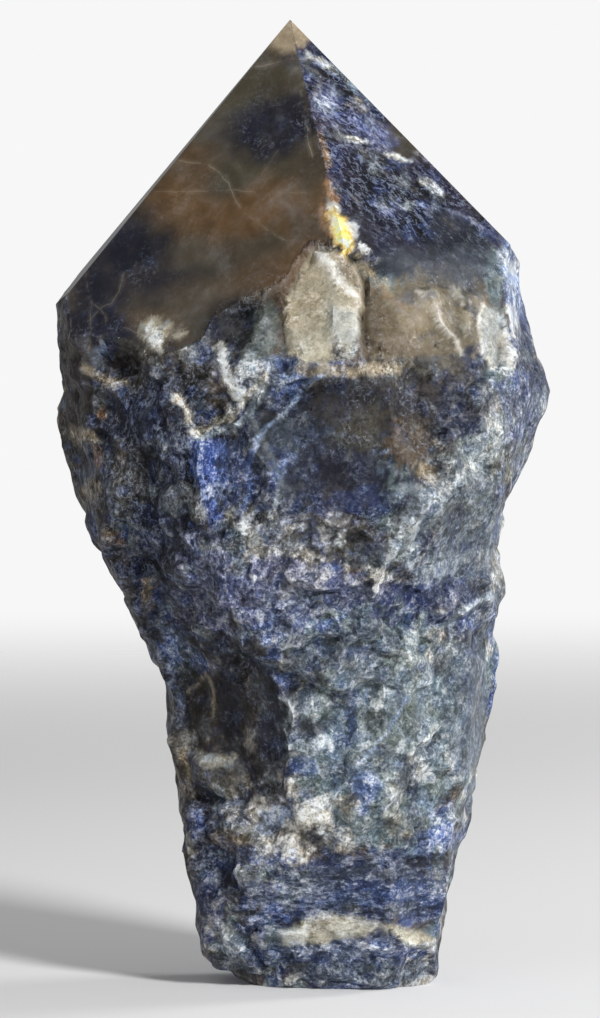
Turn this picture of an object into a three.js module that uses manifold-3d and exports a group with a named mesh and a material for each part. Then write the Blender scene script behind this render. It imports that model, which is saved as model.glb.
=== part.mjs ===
// A rough sodalite point: one broken block of stone that stands on a sawn base,
// with its top ground and polished into a six-sided point.
// Millimetres, +Z up, the front towards -Y. The origin is the middle of the base.
import * as THREE from "three";
import { mergeVertices } from "three/addons/utils/BufferGeometryUtils.js";
import Module from "manifold-3d";

const wasm = await Module();
wasm.setup();

// ---- Driving dimensions ----

const APEX = new THREE.Vector3(-2.4, 0, 163.5);
const BASE_MIDDLE = new THREE.Vector3(5.5, -2.5, 0);
const ROUGH_TOP = 168; // height of the block before the point is ground
const CUTTER_SIZE = 400; // any tool bigger than the block

// The ground facets of the point. Azimuth 0 faces -Y and 90 faces +X; lean is how far the facet's
// outward normal is tipped up from the horizontal; both in degrees.
const FACETS = [
  { azimuth: -23, lean: 28 },
  { azimuth: 35, lean: 34.5 },
  { azimuth: 96, lean: 43.6 },
  { azimuth: 152, lean: 36 },
  { azimuth: -146, lean: 37 },
  { azimuth: -85, lean: 39.3 },
];

// The arrises: the long edges where two broken sides meet, going round the block from the left
// to the front. Each point is [height, x, y], from the base up.
const ARRISES = [
  // left
  [
    [0, -9, -2], [2.5, -15, -1], [7, -17.8, 0], [22, -20.2, 1], [45, -23.1, 2], [52, -23.6, 2],
    [56, -26.6, 2], [66, -31.4, 2], [80, -38.2, 3], [90, -41.2, 4], [97, -42, 4], [103, -41, 4],
    [112, -42, 4], [ROUGH_TOP, -44, 4],
  ],
  // left front
  [
    [0, -8, -10], [3, -14.5, -11], [9, -17, -12], [20, -18.2, -12], [36, -20.6, -13], [47, -22.4, -13],
    [57, -25.5, -13], [67, -28.8, -14], [79, -32.8, -16], [91, -35.4, -17], [101, -36, -17],
    [114, -38.6, -15], [ROUGH_TOP, -42, -20],
  ],
  // front, on the left: it steps back round the dark hollow
  [
    [0, -5, -13.5], [10, -9, -16.5], [22, -12, -18], [30, -13, -15.5], [42, -14, -14], [51, -14, -15],
    [57, -15.5, -21], [65, -18, -26.5], [80, -20, -29], [95, -21, -30], [105, -21, -27],
    [110, -20, -24.5], [ROUGH_TOP, -22, -40],
  ],
  // front, in the middle
  [
    [0, 4, -16], [12, 2, -19], [26, -1, -21.5], [33, -3.5, -23], [44, -2.5, -24.5], [52, -6, -24.5],
    [58, -10, -25], [66, -6, -29.5], [80, -7, -32], [92, -6, -31], [100, -1, -31.5], [104, 3, -33.5],
    [112, 5, -30.5], [119, 5, -25.5], [127, 4, -26], [ROUGH_TOP, 4, -46],
  ],
  // front, on the right
  [
    [0, 13, -16], [10, 14, -19.5], [25, 15, -22], [42, 16, -24.5], [54, 17, -26], [60, 17, -27],
    [63, 16, -31], [74, 15, -32.5], [84, 17, -34.5], [92, 18, -34], [99, 18, -35], [104, 19, -32.5],
    [112, 20, -26.5], [121, 19, -21.2], [ROUGH_TOP, 22, -42],
  ],
  // right front
  [
    [0, 20, -10], [3, 22, -11], [12, 23, -12.5], [25, 24.6, -13], [36, 27, -13.5], [52, 29, -14],
    [64, 30.8, -14.5], [73, 30.6, -15], [82, 31.8, -18], [92, 34, -19], [101, 35.5, -17],
    [110, 34.5, -14], [122, 33.4, -10], [ROUGH_TOP, 40, -20],
  ],
  // right
  [
    [0, 21.5, 0], [6, 23, 1], [18, 25.4, 2], [27, 28, 2], [36, 30.4, 2], [52, 32.6, 2], [63, 34, 3],
    [72, 33.4, 3], [80, 34.6, 3], [88, 38.4, 3], [95, 40.6, 2], [100, 42, 2], [107, 39.8, 2],
    [113, 37.6, 2], [125, 36.6, 2], [ROUGH_TOP, 42, 2],
  ],
  // right back
  [
    [0, 15, 9], [5, 17.5, 11], [20, 20, 14], [38, 23, 17], [55, 25.5, 19], [70, 26, 22], [86, 29, 23],
    [99, 30.5, 22], [112, 29, 21], [ROUGH_TOP, 32, 26],
  ],
  // back
  [
    [0, 2, 11.5], [9, 1, 15], [24, 0, 18.5], [41, -2, 21], [60, -3, 24], [79, -4, 28.5], [94, -3, 30.5],
    [109, -2, 28], [ROUGH_TOP, -2, 38],
  ],
  // left back
  [
    [0, -7.5, 6], [6, -12.5, 8.5], [19, -14.5, 11], [37, -18, 13], [54, -21, 15.5], [71, -27, 19],
    [88, -31.5, 22], [102, -32.5, 21.5], [115, -33, 19], [ROUGH_TOP, -38, 24],
  ],
];

// Broad hollows where large flakes have come away: where the middle of the cutter is, its radii,
// and its turn about the Y axis in degrees.
const HOLLOWS = [
  { at: [27, -52, 113], radii: [15, 28, 9], turn: 25 }, // under the right front facet
  { at: [24, -66, 72], radii: [22, 36, 14], turn: 35 }, // under the shoulder on the right
  { at: [-6, 65, 66], radii: [30, 42, 30], turn: 15 }, // upper back
  { at: [14, 52, 24], radii: [22, 36, 24], turn: -20 }, // lower back
  { at: [-52, 32, 46], radii: [30, 26, 26], turn: 0 }, // left back
  { at: [64, 24, 74], radii: [33, 24, 18], turn: 0 }, // right back
];

// The detail of the ball that scoops out a hollow: near round.
const HOLLOW_DETAIL = 4;

// Small flakes knocked off the arrises: how many, over what heights they lie, how deep they bite,
// and how large and how round the many-sided cutter is. It comes in square to the arris, give or
// take a turn sideways and a tilt up or down, both in radians from end to end of their spread.
const FLAKES = 90;
const FLAKE_HEIGHTS = [5, 120];
const FLAKE_DEPTH = [0.3, 1.3];
const FLAKE_RADIUS = [14, 34];
const FLAKE_DETAIL = 1;
const FLAKE_TURN = [-0.3, 0.3];
const FLAKE_TILT = [-0.25, 0.25];

// Vertices closer than this are one.
const WELD = 1e-4;

// ---- Shapes ----

const UP = new THREE.Vector3(0, 0, 1);

const asSolid = (geometry) => {
  const bare = new THREE.BufferGeometry();
  bare.setAttribute("position", geometry.getAttribute("position"));
  bare.setIndex(geometry.getIndex());
  const merged = mergeVertices(bare, WELD);
  return new wasm.Manifold(
    new wasm.Mesh({
      numProp: 3,
      vertProperties: merged.getAttribute("position").array,
      triVerts: new Uint32Array(merged.getIndex().array),
    }),
  );
};

const asGeometry = (solid) => {
  const mesh = solid.getMesh();
  const geometry = new THREE.BufferGeometry();
  geometry.setAttribute("position", new THREE.BufferAttribute(mesh.vertProperties, 3));
  geometry.setIndex(new THREE.BufferAttribute(mesh.triVerts, 1));
  return geometry;
};

// The skin between two neighbouring arrises, stitched from the base up: each triangle takes the
// next point of whichever arris is lower, so the sides break at uneven heights as stone does.
const stitch = (a, b) => {
  const triangles = [];
  let i = 0;
  let j = 0;
  while (i < a.length - 1 || j < b.length - 1) {
    const climbA = j === b.length - 1 || (i < a.length - 1 && a[i + 1].z <= b[j + 1].z);
    triangles.push(climbA ? [a[i], b[j], a[i + 1]] : [a[i], b[j], b[j + 1]]);
    if (climbA) i += 1;
    else j += 1;
  }
  return triangles;
};

// A fan of triangles that closes the block's top or foot.
const cap = (ring, outwardUp) => {
  const middle = ring.reduce((sum, p) => sum.add(p), new THREE.Vector3()).divideScalar(ring.length);
  return ring.map((p, i) => {
    const next = ring[(i + 1) % ring.length];
    return outwardUp ? [middle, p, next] : [middle, next, p];
  });
};

const brokenBlock = () => {
  const lines = ARRISES.map((line) => line.map(([z, x, y]) => new THREE.Vector3(x, y, z)));
  const sides = lines.flatMap((line, i) => stitch(line, lines[(i + 1) % lines.length]));
  const top = cap(lines.map((line) => line.at(-1)), true);
  const foot = cap(lines.map((line) => line[0]), false);
  const points = [...sides, ...top, ...foot].flat();
  return asSolid(new THREE.BufferGeometry().setFromPoints(points));
};

// A ball stretched to three radii, as a tool that scoops out a hollow.
const scoop = ({ at, radii, turn }) => {
  const ball = new THREE.IcosahedronGeometry(1, HOLLOW_DETAIL);
  ball.scale(...radii);
  ball.rotateY(THREE.MathUtils.degToRad(turn));
  ball.translate(...at);
  return asSolid(ball);
};

// Everything on the outer side of the facet's plane, which passes through the apex.
const grindingWheel = ({ azimuth, lean }) => {
  const a = THREE.MathUtils.degToRad(azimuth);
  const up = THREE.MathUtils.degToRad(lean);
  const normal = new THREE.Vector3(
    Math.sin(a) * Math.cos(up),
    -Math.cos(a) * Math.cos(up),
    Math.sin(up),
  );
  const wheel = new THREE.BoxGeometry(CUTTER_SIZE, CUTTER_SIZE, CUTTER_SIZE);
  wheel.translate(0, 0, CUTTER_SIZE / 2);
  wheel.applyQuaternion(new THREE.Quaternion().setFromUnitVectors(UP, normal));
  wheel.translate(APEX.x, APEX.y, APEX.z);
  return asSolid(wheel);
};

// A value between low and high for flake number i. Steps of the square roots of different primes
// fill the range evenly and never fall in line with each other.
const between = ([low, high], share) => low + (high - low) * share;
const spread = (range, i, prime) => between(range, (i * Math.sqrt(prime)) % 1);

// The point of an arris at a height.
const pointAt = (line, height) => {
  const above = line.findIndex(([z]) => z >= height);
  const [low, high] = [line[above - 1], line[above]].map(([z, x, y]) => new THREE.Vector3(x, y, z));
  return low.lerp(high, (height - low.z) / (high.z - low.z));
};

// The many-sided cutter that takes flake number i off one of the arrises.
const flake = (i) => {
  const line = ARRISES[Math.floor(spread([0, ARRISES.length], i, 2))];
  const onArris = pointAt(line, spread(FLAKE_HEIGHTS, i, 5));
  const outward = new THREE.Vector3(onArris.x, onArris.y, 0).normalize();
  outward.applyAxisAngle(UP, spread(FLAKE_TURN, i, 3));
  outward.setZ(Math.tan(spread(FLAKE_TILT, i, 7))).normalize();
  const radius = spread(FLAKE_RADIUS, i, 11);
  const depth = spread(FLAKE_DEPTH, i, 13);
  const ball = new THREE.IcosahedronGeometry(radius, FLAKE_DETAIL);
  ball.rotateX(spread([0, Math.PI], i, 17));
  ball.rotateZ(spread([0, Math.PI], i, 19));
  ball.translate(...onArris.addScaledVector(outward, radius - depth).toArray());
  return asSolid(ball);
};

// ---- The stone ----

const stoneSolid = () => {
  const hollows = HOLLOWS.map(scoop);
  const flakes = Array.from({ length: FLAKES }, (_, i) => flake(i));
  const wheels = FACETS.map(grindingWheel);
  return [...hollows, ...flakes, ...wheels].reduce((solid, tool) => solid.subtract(tool), brokenBlock());
};

const stone = new THREE.Mesh(
  asGeometry(stoneSolid()),
  new THREE.MeshStandardMaterial({ color: 0x4d5670, roughness: 0.6, metalness: 0 }),
);
stone.name = "stone";

const part = new THREE.Group();
part.position.copy(BASE_MIDDLE).negate();
part.add(stone);

export default part;
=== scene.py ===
"""A rough sodalite point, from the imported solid: its skin is remeshed, broken up into
small fractures, ground flat again on the facets of the point, and coloured as stone.

Lengths on the stone are millimetres, and those of the camera, the lamps and the floor are
metres. The front is -Y.
"""

import itertools
import math

import bmesh
import bpy
import numpy as np
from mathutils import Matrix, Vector

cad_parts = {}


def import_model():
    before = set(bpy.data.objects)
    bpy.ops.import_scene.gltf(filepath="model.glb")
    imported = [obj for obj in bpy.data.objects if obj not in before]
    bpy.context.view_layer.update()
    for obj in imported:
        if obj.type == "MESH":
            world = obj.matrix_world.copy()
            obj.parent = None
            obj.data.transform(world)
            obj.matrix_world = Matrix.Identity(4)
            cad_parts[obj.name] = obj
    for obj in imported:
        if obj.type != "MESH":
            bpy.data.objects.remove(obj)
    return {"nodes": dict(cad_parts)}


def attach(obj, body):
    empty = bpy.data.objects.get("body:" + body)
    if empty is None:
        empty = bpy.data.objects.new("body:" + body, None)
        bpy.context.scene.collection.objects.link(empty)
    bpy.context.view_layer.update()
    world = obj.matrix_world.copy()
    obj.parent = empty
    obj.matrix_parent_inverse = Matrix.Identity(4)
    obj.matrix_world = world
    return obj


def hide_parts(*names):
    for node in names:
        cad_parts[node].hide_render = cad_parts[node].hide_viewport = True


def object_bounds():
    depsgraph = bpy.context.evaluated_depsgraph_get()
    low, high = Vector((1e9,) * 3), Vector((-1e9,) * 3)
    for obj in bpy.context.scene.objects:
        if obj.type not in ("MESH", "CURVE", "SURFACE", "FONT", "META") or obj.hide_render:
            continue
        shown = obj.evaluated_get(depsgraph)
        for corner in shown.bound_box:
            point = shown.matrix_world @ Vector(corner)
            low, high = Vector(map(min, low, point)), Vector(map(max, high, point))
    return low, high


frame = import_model()
CAD_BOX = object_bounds()

MM = 0.001

# From where the front is seen, in metres; places on it, (x, z), are given as they look from there.
VIEW_MIDDLE = Vector((-6.2 * MM, 0, 80.4 * MM))
VIEW_DISTANCE = 0.9
VIEW_RISE = 2.0  # degrees above level
VIEW_HEIGHT = 173.0 * MM  # what the picture's height takes in

# ---- The skin ----

VOXEL = 0.64  # the spacing of the skin's vertices, before the taper
TAPER = (1.12, 0.8)  # how much closer the vertices are at the front, and farther apart at the back
TAPER_CUTS = 3  # how often the solid's triangles are halved, so that they bend with the taper
SOFTEN = 5  # rounds of smoothing that take the flat-sided look off the solid
NORMAL_ROUNDS = 14  # rounds of smoothing for the directions that the skin is pushed in
FACET_SKIN = 0.5  # a vertex this close to a facet's plane belongs to the facet
FACET_FADE = 4  # rounds of smoothing that blend the facets into the broken sides
FACET_SWELL = 0.7  # how far a facet is swollen before it is ground flat again
GRIND_ROUNDS = 3  # how often all facets are ground in turn, because one can bare another
AT_TIP = 0.01  # a corner this close to the tip is the tip
SAME_FACET = 0.99  # faces whose directions agree this far belong to one facet
POLISH_EDGE = 0.12  # how deep the grinding has to bite for a full polish
POLISH_KEPT = (0.88, 1.0)  # how much round a vertex is ground when it begins to shine, and fully does
RIDGE_REACH = 0.6  # how far a vertex may move to sit on the ridge between two facets
FACING_FRONT = (0.02, 0.3)  # how squarely a surface faces the front before the front's marks show
# The hollows get painted shade in the colour, and the edges that stand out get painted highlight, partly
# for their pale worn stone.
HOLLOWS = ((6, 1.0), (40, 0.2))  # the hollows that darken: rounds of smoothing, and their shares

# Tilted breaks: how far across, how steep, how high their steps, how soft their edges are and the
# seed. The large ones are chiselled hard and the small flakes laid over them only a little.
BREAKS = (
    {"size": 17.0, "slope": 0.16, "step": 1.0, "soft": 0.3, "seed": 11},
    {"size": 8.0, "slope": 0.22, "step": 0.7, "soft": 0.15, "seed": 12},
)
FLAKES = (
    {"size": 3.9, "slope": 0.26, "step": 0.4, "soft": 0.08, "seed": 13},
    {"size": 2.0, "slope": 0.3, "step": 0.18, "soft": 0.06, "seed": 14},
)
OUTLINE_CALM = 0.5  # how much of the breaks stays where the stone turns off the front and the back
OUTLINE_TURN = (0.15, 0.55)  # how squarely it still faces one of them where that is full, and over
GRIT = (0.15, 2.2, 40)  # the fine roughness over the flakes: how high, how large and its seed

# How lines and edges wander: how large the bends are, how far they reach and a seed.
BREAK_SWAY = (6.0, 1.4, 5)
FLAKE_SWAY = (3.0, 0.6, 45)
FRONT_SWAYS = ((7.0, 1.2, 51), (2.5, 0.6, 54))
CRACK_SWAY = (2.5, 0.45, 91)

# Chiselling turns rounded lumps into flat faces: how far two faces' directions may differ and
# still grow alike, and for the breaks and the flakes the rounds in which they do and the rounds in
# which the vertices follow. Then the angle from which an edge between two faces is drawn sharp.
CHISEL_ALIKE = 0.3
CHISEL_BREAKS = (9, 8)
CHISEL_FLAKES = (3, 2)
SHARP_FROM = math.radians(24)

# ---- The shape of the front ----

# The foot of the polished facets, from left to right, and how deep the stone is broken away there.
POLISH_FOOT = (
    (-50, 117, 1.2), (-46, 112, 1.2), (-42, 107, 1.1), (-36, 104, 1.0), (-30, 105.5, 0.9),
    (-22, 108.5, 1.0), (-20, 113, 1.2), (-12, 117, 1.3), (-9, 117.4, 1.2), (-6.8, 121.4, 0.8),
    (-4.2, 125, 0.7), (-0.8, 125.2, 0.6), (3.6, 122.4, 0.5), (6, 120.6, 0.3), (9, 120.6, 0.15),
    (14, 122, 0.12), (29, 121.6, 0.12), (36, 122.4, 0.3),
)
POLISH_JAG = (0.4, 4.0, 55)  # how that line wanders up and down: how far, how large and its seed
POLISH_STEP = (0.3, 2.6)  # half how wide the edge is, on the left and where it melts on the right
MELT_ROUNDS = 40  # rounds of smoothing that let the polish fade out on the right
MELT_FROM = (5, 9)  # where along the front that begins
POLISH_SMOOTH = 3  # rounds of smoothing that round off the edge of that break

# Shapes that both stand out and have a colour of their own, anticlockwise.
CHIP = (
    (-4.1, 124.4), (-7, 120.2), (-9.4, 114.2), (-7.9, 106.6), (-4.5, 105.2), (2.4, 106.2),
    (3.2, 110), (3, 114), (1.2, 118), (-2.4, 122.4),
)
CHIP_WEDGE = ((-4.1, 124.5), (2.9, 113.4), (4.3, 113.8), (4.5, 118.9), (3.4, 121.9), (-1, 124.7))
CHIP_FROST = ((-4.1, 124.5), (-1.2, 120.2), (3, 114.6), (3.4, 116.4), (0.4, 121), (-2.6, 124.6))
CHIP_SIDE = ((-1.6, 114.6), (-1.2, 106), (2.3, 106.4), (3.2, 110), (2.6, 113.6))
BROWN_HOLLOW = ((4.4, 120.5), (3, 113.4), (3.2, 109.8), (4.2, 106.8), (12.9, 106.2), (7.6, 117.4))
TONGUE = ((24.1, 115.1), (23.6, 111.5), (24.6, 106.6), (27.3, 104.5), (28, 107.7), (27.3, 114.4))
STREAK = ((-25.4, 92.4), (-22, 79), (-20.2, 76.8), (-18.4, 84), (-18.2, 92))
STREAK_SIDE = ((-18.2, 92), (-18.4, 84), (-17.8, 81), (-16.6, 84.6), (-14.9, 91.6))
PALE_BAND = (
    (-9.6, 8.9), (-9.2, 6.4), (-5.1, 6.2), (0.5, 7.4), (6.1, 8.8), (8.3, 9.8), (2.1, 10.9),
    (-1.9, 11.2), (-4.3, 10.8),
)
PALE_STRIPE = ((6.8, 10), (11.6, 6.8), (16.4, 4.6), (17.4, 6.4), (12.2, 9.3))
WHITE_BUMP = ((-20.6, 107.5), (-20, 101), (-17.6, 98.6), (-15.8, 100), (-17.2, 107.5))

# Lines that both stand out, or are cut in, and have a colour: the pale on the crests is partly the
# stone's own and partly painted highlight, and the black in the cleft is painted shade.
SEAM_UNDER_STAR = ((-11.1, 105.2), (-14.9, 96.7), (-20.6, 93.3), (-23.4, 92.6))
SEAM_OF_NOOK = ((-24, 93), (-18, 97), (-12, 103))
SEAM_AT_LEFT = ((-43, 104), (-40, 102), (-36, 101.5))
LEDGE = ((12, 59.6), (20, 61), (26.5, 66))
RIB_EDGE = ((13.2, 117.8), (15.6, 115.6), (17.4, 112.2), (19.8, 109.4), (21.4, 106.3))
SEAM_LOW_RIGHT = ((17.9, 41), (19.3, 36.7), (21, 34.3))
SEAM_LOW_MIDDLE = ((12.1, 47.9), (7.4, 41.5), (2.6, 35.5))
SEAM_OVER_FOOT = ((16, 28), (22.4, 28.2))
CLEFT_AT_LEFT = ((-33, 76), (-28, 66), (-24, 58))

# Where something has come away or stands out: its outline (anticlockwise and without hollows),
# how far it stands out, how it tilts across and upwards, how much other relief stays on it, and
# how wide the slope round it is.
FACES = {
    "waxy hollow": (((5, 106.5), (24, 105.5), (30, 108), (30, 122), (12, 124), (6, 121)),
                    -1.0, 0.05, 0.0, 0.05, 3.0),
    "brown hollow": (BROWN_HOLLOW, -1.3, 0.12, 0.0, 0.25, 1.6),
    "speckled face": (((-21, 107), (-17, 104), (-10.5, 106), (-10, 113), (-13, 116.5), (-19.5, 112)),
                      -0.3, 0, 0.02, 0.4, 0.9),
    "chip": (CHIP, 0.3, 0.1, -0.02, 0.12, 0.6),
    "chip's wedge": (CHIP_WEDGE, 0.7, -0.12, -0.1, 0.12, 0.5),
    "chip's frosted side": (CHIP_SIDE, 1.1, -0.08, 0.02, 0.5, 0.5),
    "rib 1": (((16.2, 113.8), (21.3, 105.2), (24, 105), (22.5, 117.5), (14, 118.5)),
              -0.3, -0.17, 0.02, 0.12, 0.6),
    "rib 2": (((21.7, 110.4), (24.6, 105), (28, 106), (28, 115), (25, 117.5), (20.8, 117.5)),
              0.1, -0.2, 0.02, 0.12, 0.6),
    "rib 3": (((26.6, 117), (28.4, 112), (30.8, 107), (32, 109), (31, 120), (27, 123)),
              0.4, -0.24, 0.0, 0.2, 0.6),
    "scoop": (((-14, 94), (-7, 80), (8, 77), (18, 86), (17.5, 96), (10, 100.5), (-2, 101)),
              -1.5, 0.02, 0.05, 0.25, 2.6),
    "over the scoop": (((6, 106), (7, 101), (18, 100), (20, 105.6), (12, 107)), -0.9, 0, 0, 0.1, 3.0),
    "under the ribs": (((19, 106.5), (20, 99), (28, 98), (31, 104), (28, 107)), -0.5, 0, -0.1, 0.1, 3.0),
    "dark nook": (((-29, 98), (-24, 94), (-14, 98), (-12, 103), (-20, 106), (-28, 103)),
                  -1.5, 0.0, 0.0, 0.7, 0.8),
    "slab": (((-17.5, 103), (-11, 102), (-9.8, 109), (-12.5, 113.5), (-16, 110)),
             0.4, -0.1, 0.05, 0.2, 0.6),
    "tongue": (TONGUE, 0.3, -0.2, 0, 0.1, 0.5),
    "white bump": (WHITE_BUMP, 0.8, 0, 0, 0.5, 0.8),
    "streak": (STREAK, 0.6, -0.1, 0.02, 0.5, 0.7),
    "beside the streak": (STREAK_SIDE, 0.1, -0.16, 0.02, 0.4, 0.7),
    "gap left": (((-26.6, 90), (-26, 77), (-24, 77), (-24, 90)), -1.2, 0, 0, 0.7, 0.8),
    "gap right": (((-15.8, 88), (-15, 77), (-12.4, 78), (-13, 89)), -1.1, 0, 0, 0.7, 0.8),
    "cleft": (((-33.4, 92), (-33, 70), (-30, 70), (-30.4, 92)), -1.1, 0, 0, 0.8, 0.8),
    "shoulder": (((24, 88), (33, 86), (35, 100), (29, 106), (23, 100)), 0.5, -0.1, 0.04, 0.5, 0.8),
    "lit face": (((11, 70), (22, 66), (29, 72), (28, 87), (20, 84)), 0.2, -0.05, 0.14, 0.35, 0.8),
    "pit": (((-8, 78), (-7, 71), (5, 71), (8, 77), (2, 80)), -0.8, 0, 0.05, 0.8, 0.8),
    "under the ledge": (((8, 58.5), (8, 45), (27, 43), (28.5, 56), (26.5, 64.5), (20, 60)),
                        -0.9, 0, 0.03, 0.5, 0.7),
    "recess": (((-28, 55), (-27, 30), (-13.5, 29.5), (-10, 34), (-8, 44), (-12, 53.5), (-20, 57.6)),
               -2.0, 0.0, 0.04, 0.5, 0.7),
    "recess wall": (((-16, 56), (-16, 31), (-12.6, 30), (-12.6, 53.5)), -0.9, 0.0, 0.0, 0.4, 0.8),
    "shelf": (((-26, 38.5), (-25, 33.5), (-21, 31.5), (-17, 33), (-16.6, 37), (-20, 39.8)),
              0.7, 0.05, 0.08, 0.5, 1.6),
    "pale boulder": (((7.6, 52), (12, 48.6), (17, 50.4), (15, 55.6), (10, 55.6)), 0.9, 0, 0.04, 0.4, 1.0),
    "blue boulder": (((7, 45), (11, 43), (13, 48.6), (8, 49.6)), 0.5, 0, 0.0, 0.5, 1.0),
    "buttress": (((-8, 44), (-8, 36), (-3, 34), (-2, 46), (-4.4, 50)), 0.5, 0.1, 0, 0.5, 1.0),
    "white lump": (((-7.4, 31.5), (-6.5, 25.6), (-1.4, 25.4), (-0.6, 30), (-3, 33)),
                   0.8, 0, 0.08, 0.4, 1.0),
    "cream lump": (((0, 25), (0.4, 20.9), (7, 20.9), (7, 25.4)), 0.5, 0, 0, 0.4, 0.8),
    "right plane": (((18, 40), (21, 33), (25.6, 31), (28.5, 54), (22, 56)), 0.0, -0.16, 0, 0.15, 0.8),
    "lower plane": (((16, 33), (17, 28.5), (23.5, 28.5), (25, 33)), -0.4, -0.1, 0.1, 0.3, 0.7),
    "foot": (((-11, 20.8), (-9, 10.8), (18.5, 10.2), (20.5, 20.8)), 0.1, 0, 0.03, 0.5, 2.0),
    "pale band": (PALE_BAND, 0.25, 0, 0, 0.5, 0.6),
    "pale stripe": (PALE_STRIPE, 0.25, 0, 0, 0.5, 0.6),
}

# How far the stone's left side stands out farther than the solid, from the foot upwards as
# (height, out), and how squarely it faces left before it does.
LEFT_SWELL = (
    (0, 1.0), (4, 0.8), (7, 0.3), (12, 0.8), (15, 1.4), (19, 1.4), (24, 0.2), (35, 0), (38, 0.9),
    (43, 0.9), (47, 0), (65, 0), (69, 0.9), (83, 0.9), (87, 0),
    (100, 0.2), (103, 1.5), (109, 1.5), (113, 0.3), (116, 0),
)
FACING_LEFT = (0.4, 0.8)

# Lines on the front that stand out as ridges or, below zero, are cut in as clefts: how high, half
# how wide, and where they run.
CRESTS = (
    (0.5, 0.9, ((-1.2, 103.4), (-6, 100.4), (-9.2, 97.1), (-12, 93.6))),
    (0.7, 1.0, SEAM_UNDER_STAR),
    (0.7, 1.0, ((-30, 99), (-26, 96), (-24, 93))),
    (0.6, 0.8, SEAM_OF_NOOK),
    (0.6, 0.9, SEAM_AT_LEFT),
    (0.6, 2.0, ((29, 98), (27, 92), (19, 85), (14.6, 79.6), (11, 74.6), (8.3, 71.7))),
    (0.8, 0.9, LEDGE),
    (0.45, 0.9, RIB_EDGE),
    (0.6, 0.7, SEAM_LOW_RIGHT),
    (0.5, 0.6, SEAM_LOW_MIDDLE),
    (0.5, 0.6, SEAM_OVER_FOOT),
    (0.6, 0.7, ((-10, 48.5), (-7.6, 45), (-8.2, 38.6))),
    (-0.8, 0.7, ((8, 21.0), (14, 21.2), (20, 21.6))),
    (-0.7, 0.7, ((4.9, 106), (5.2, 112), (5.4, 119.5))),
    (-0.6, 0.7, CLEFT_AT_LEFT),
    (-0.6, 0.6, ((-3, 66), (6, 67), (14, 66), (23, 68))),
    (-0.6, 0.6, ((-6, 52.4), (0, 51.6), (3, 52.6))),
    (-0.6, 0.6, ((-6, 43.4), (-1, 43))),
    (-0.6, 0.6, ((14.6, 44), (11.8, 45.2), (8.6, 42.8))),
    (-0.6, 0.6, ((0, 60), (6, 62), (12, 60))),
)

# ---- Colours ----


def linear(red, green, blue):
    """A colour given in the usual 0 to 255 as the light that it stands for."""

    def light(value):
        value /= 255
        return value / 12.92 if value <= 0.04045 else ((value + 0.055) / 1.055) ** 2.4

    return np.array([light(red), light(green), light(blue)])


COLOURS = {
    "honey": linear(160, 144, 118),
    "smoke": linear(66, 58, 45),
    "olive": linear(66, 61, 46),
    "amber": linear(94, 70, 42),
    "dusk": linear(60, 57, 51),
    "ink": linear(18, 19, 32),
    "navy": linear(28, 32, 50),
    "royal": linear(40, 54, 94),
    "violet": linear(35, 33, 57),
    "cobalt": linear(50, 76, 138),
    "lilac": linear(88, 94, 130),
    "periwinkle": linear(70, 94, 150),
    "sky": linear(146, 166, 196),
    "coal": linear(36, 40, 46),
    "flint": linear(58, 64, 72),
    "slate": linear(76, 86, 98),
    "sea": linear(108, 126, 130),
    "moss": linear(94, 102, 97),
    "mist": linear(138, 150, 156),
    "white": linear(226, 230, 228),
    "bone": linear(176, 170, 148),
    "cream": linear(204, 200, 188),
    "tan": linear(152, 138, 110),
    "wax": linear(112, 102, 82),
    "brown": linear(86, 71, 52),
    "rust": linear(54, 40, 26),
    "bark": linear(34, 28, 25),
    "black": linear(16, 16, 20),
    "gold": linear(250, 212, 104),
    "orange": linear(160, 122, 84),
}

# What comes and goes all through the stone, and shows on the sides and the back: a colour, how
# strong, how large, its seed, and the part of the noise over which it comes in.
CLOUDS = (
    ("slate", 1.0, 18, 61, -0.1, 0.1),
    ("royal", 0.85, 17, 62, -0.02, 0.12),
    ("navy", 0.9, 12, 63, 0.0, 0.16),
    ("brown", 0.8, 13, 64, 0.1, 0.2),
    ("dusk", 0.8, 9, 65, 0.06, 0.2),
    ("sea", 0.75, 9, 66, 0.12, 0.25),
    ("periwinkle", 0.7, 7, 70, 0.16, 0.26),
    ("cream", 0.75, 7, 67, 0.24, 0.34),
)
# Thin sheets of other stone: a colour, how strong, how large their bends, a seed, half how thick.
SHEETS = (
    ("mist", 0.6, 26, 77, 0.035),
    ("cream", 0.6, 30, 78, 0.02),
    ("black", 0.5, 20, 79, 0.02),
)
SMOKE = ("smoke", 0.8, 22, 68, -0.3, 0.0)  # the cloud that darkens the polished facets
# Small patches laid over the grainy stone, in the same way as the clouds.
MOTTLES = (
    ("navy", 0.4, 3.4, 101, 0.14, 0.3),
    ("mist", 0.25, 2.8, 102, 0.18, 0.34),
    ("royal", 0.35, 3.8, 103, 0.16, 0.3),
    ("black", 0.35, 2.4, 104, 0.22, 0.36),
    ("periwinkle", 0.3, 2.4, 105, 0.24, 0.36),
)
# The inner edge of the weathered brown on the left, from the foot upwards as (z, x); from where to
# where beyond it the brown comes in; and its colours, each with its strength and its place in the noise.
# The brown is darkened there as painted shade, on the side turned from the light.
LEFT_EDGE = (
    (0, -21.5), (14, -22.5), (36, -26), (47, -28), (56, -31), (67, -34), (79, -38), (95, -40.5),
    (107, -42.6), (125, -47),
)
LEFT_FADE = (-1.0, 1.5)
LEFT_RAG = 1.5  # how ragged that edge is
LEFT_STAINS_AND_SHADE = (
    ("rust", 1.0, 9, 69, -0.9, -0.5),
    ("bark", 0.95, 5, 110, -0.2, 0.05),
    ("tan", 0.55, 4, 111, 0.12, 0.24),
    ("coal", 0.6, 6, 112, 0.16, 0.26),
)

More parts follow.
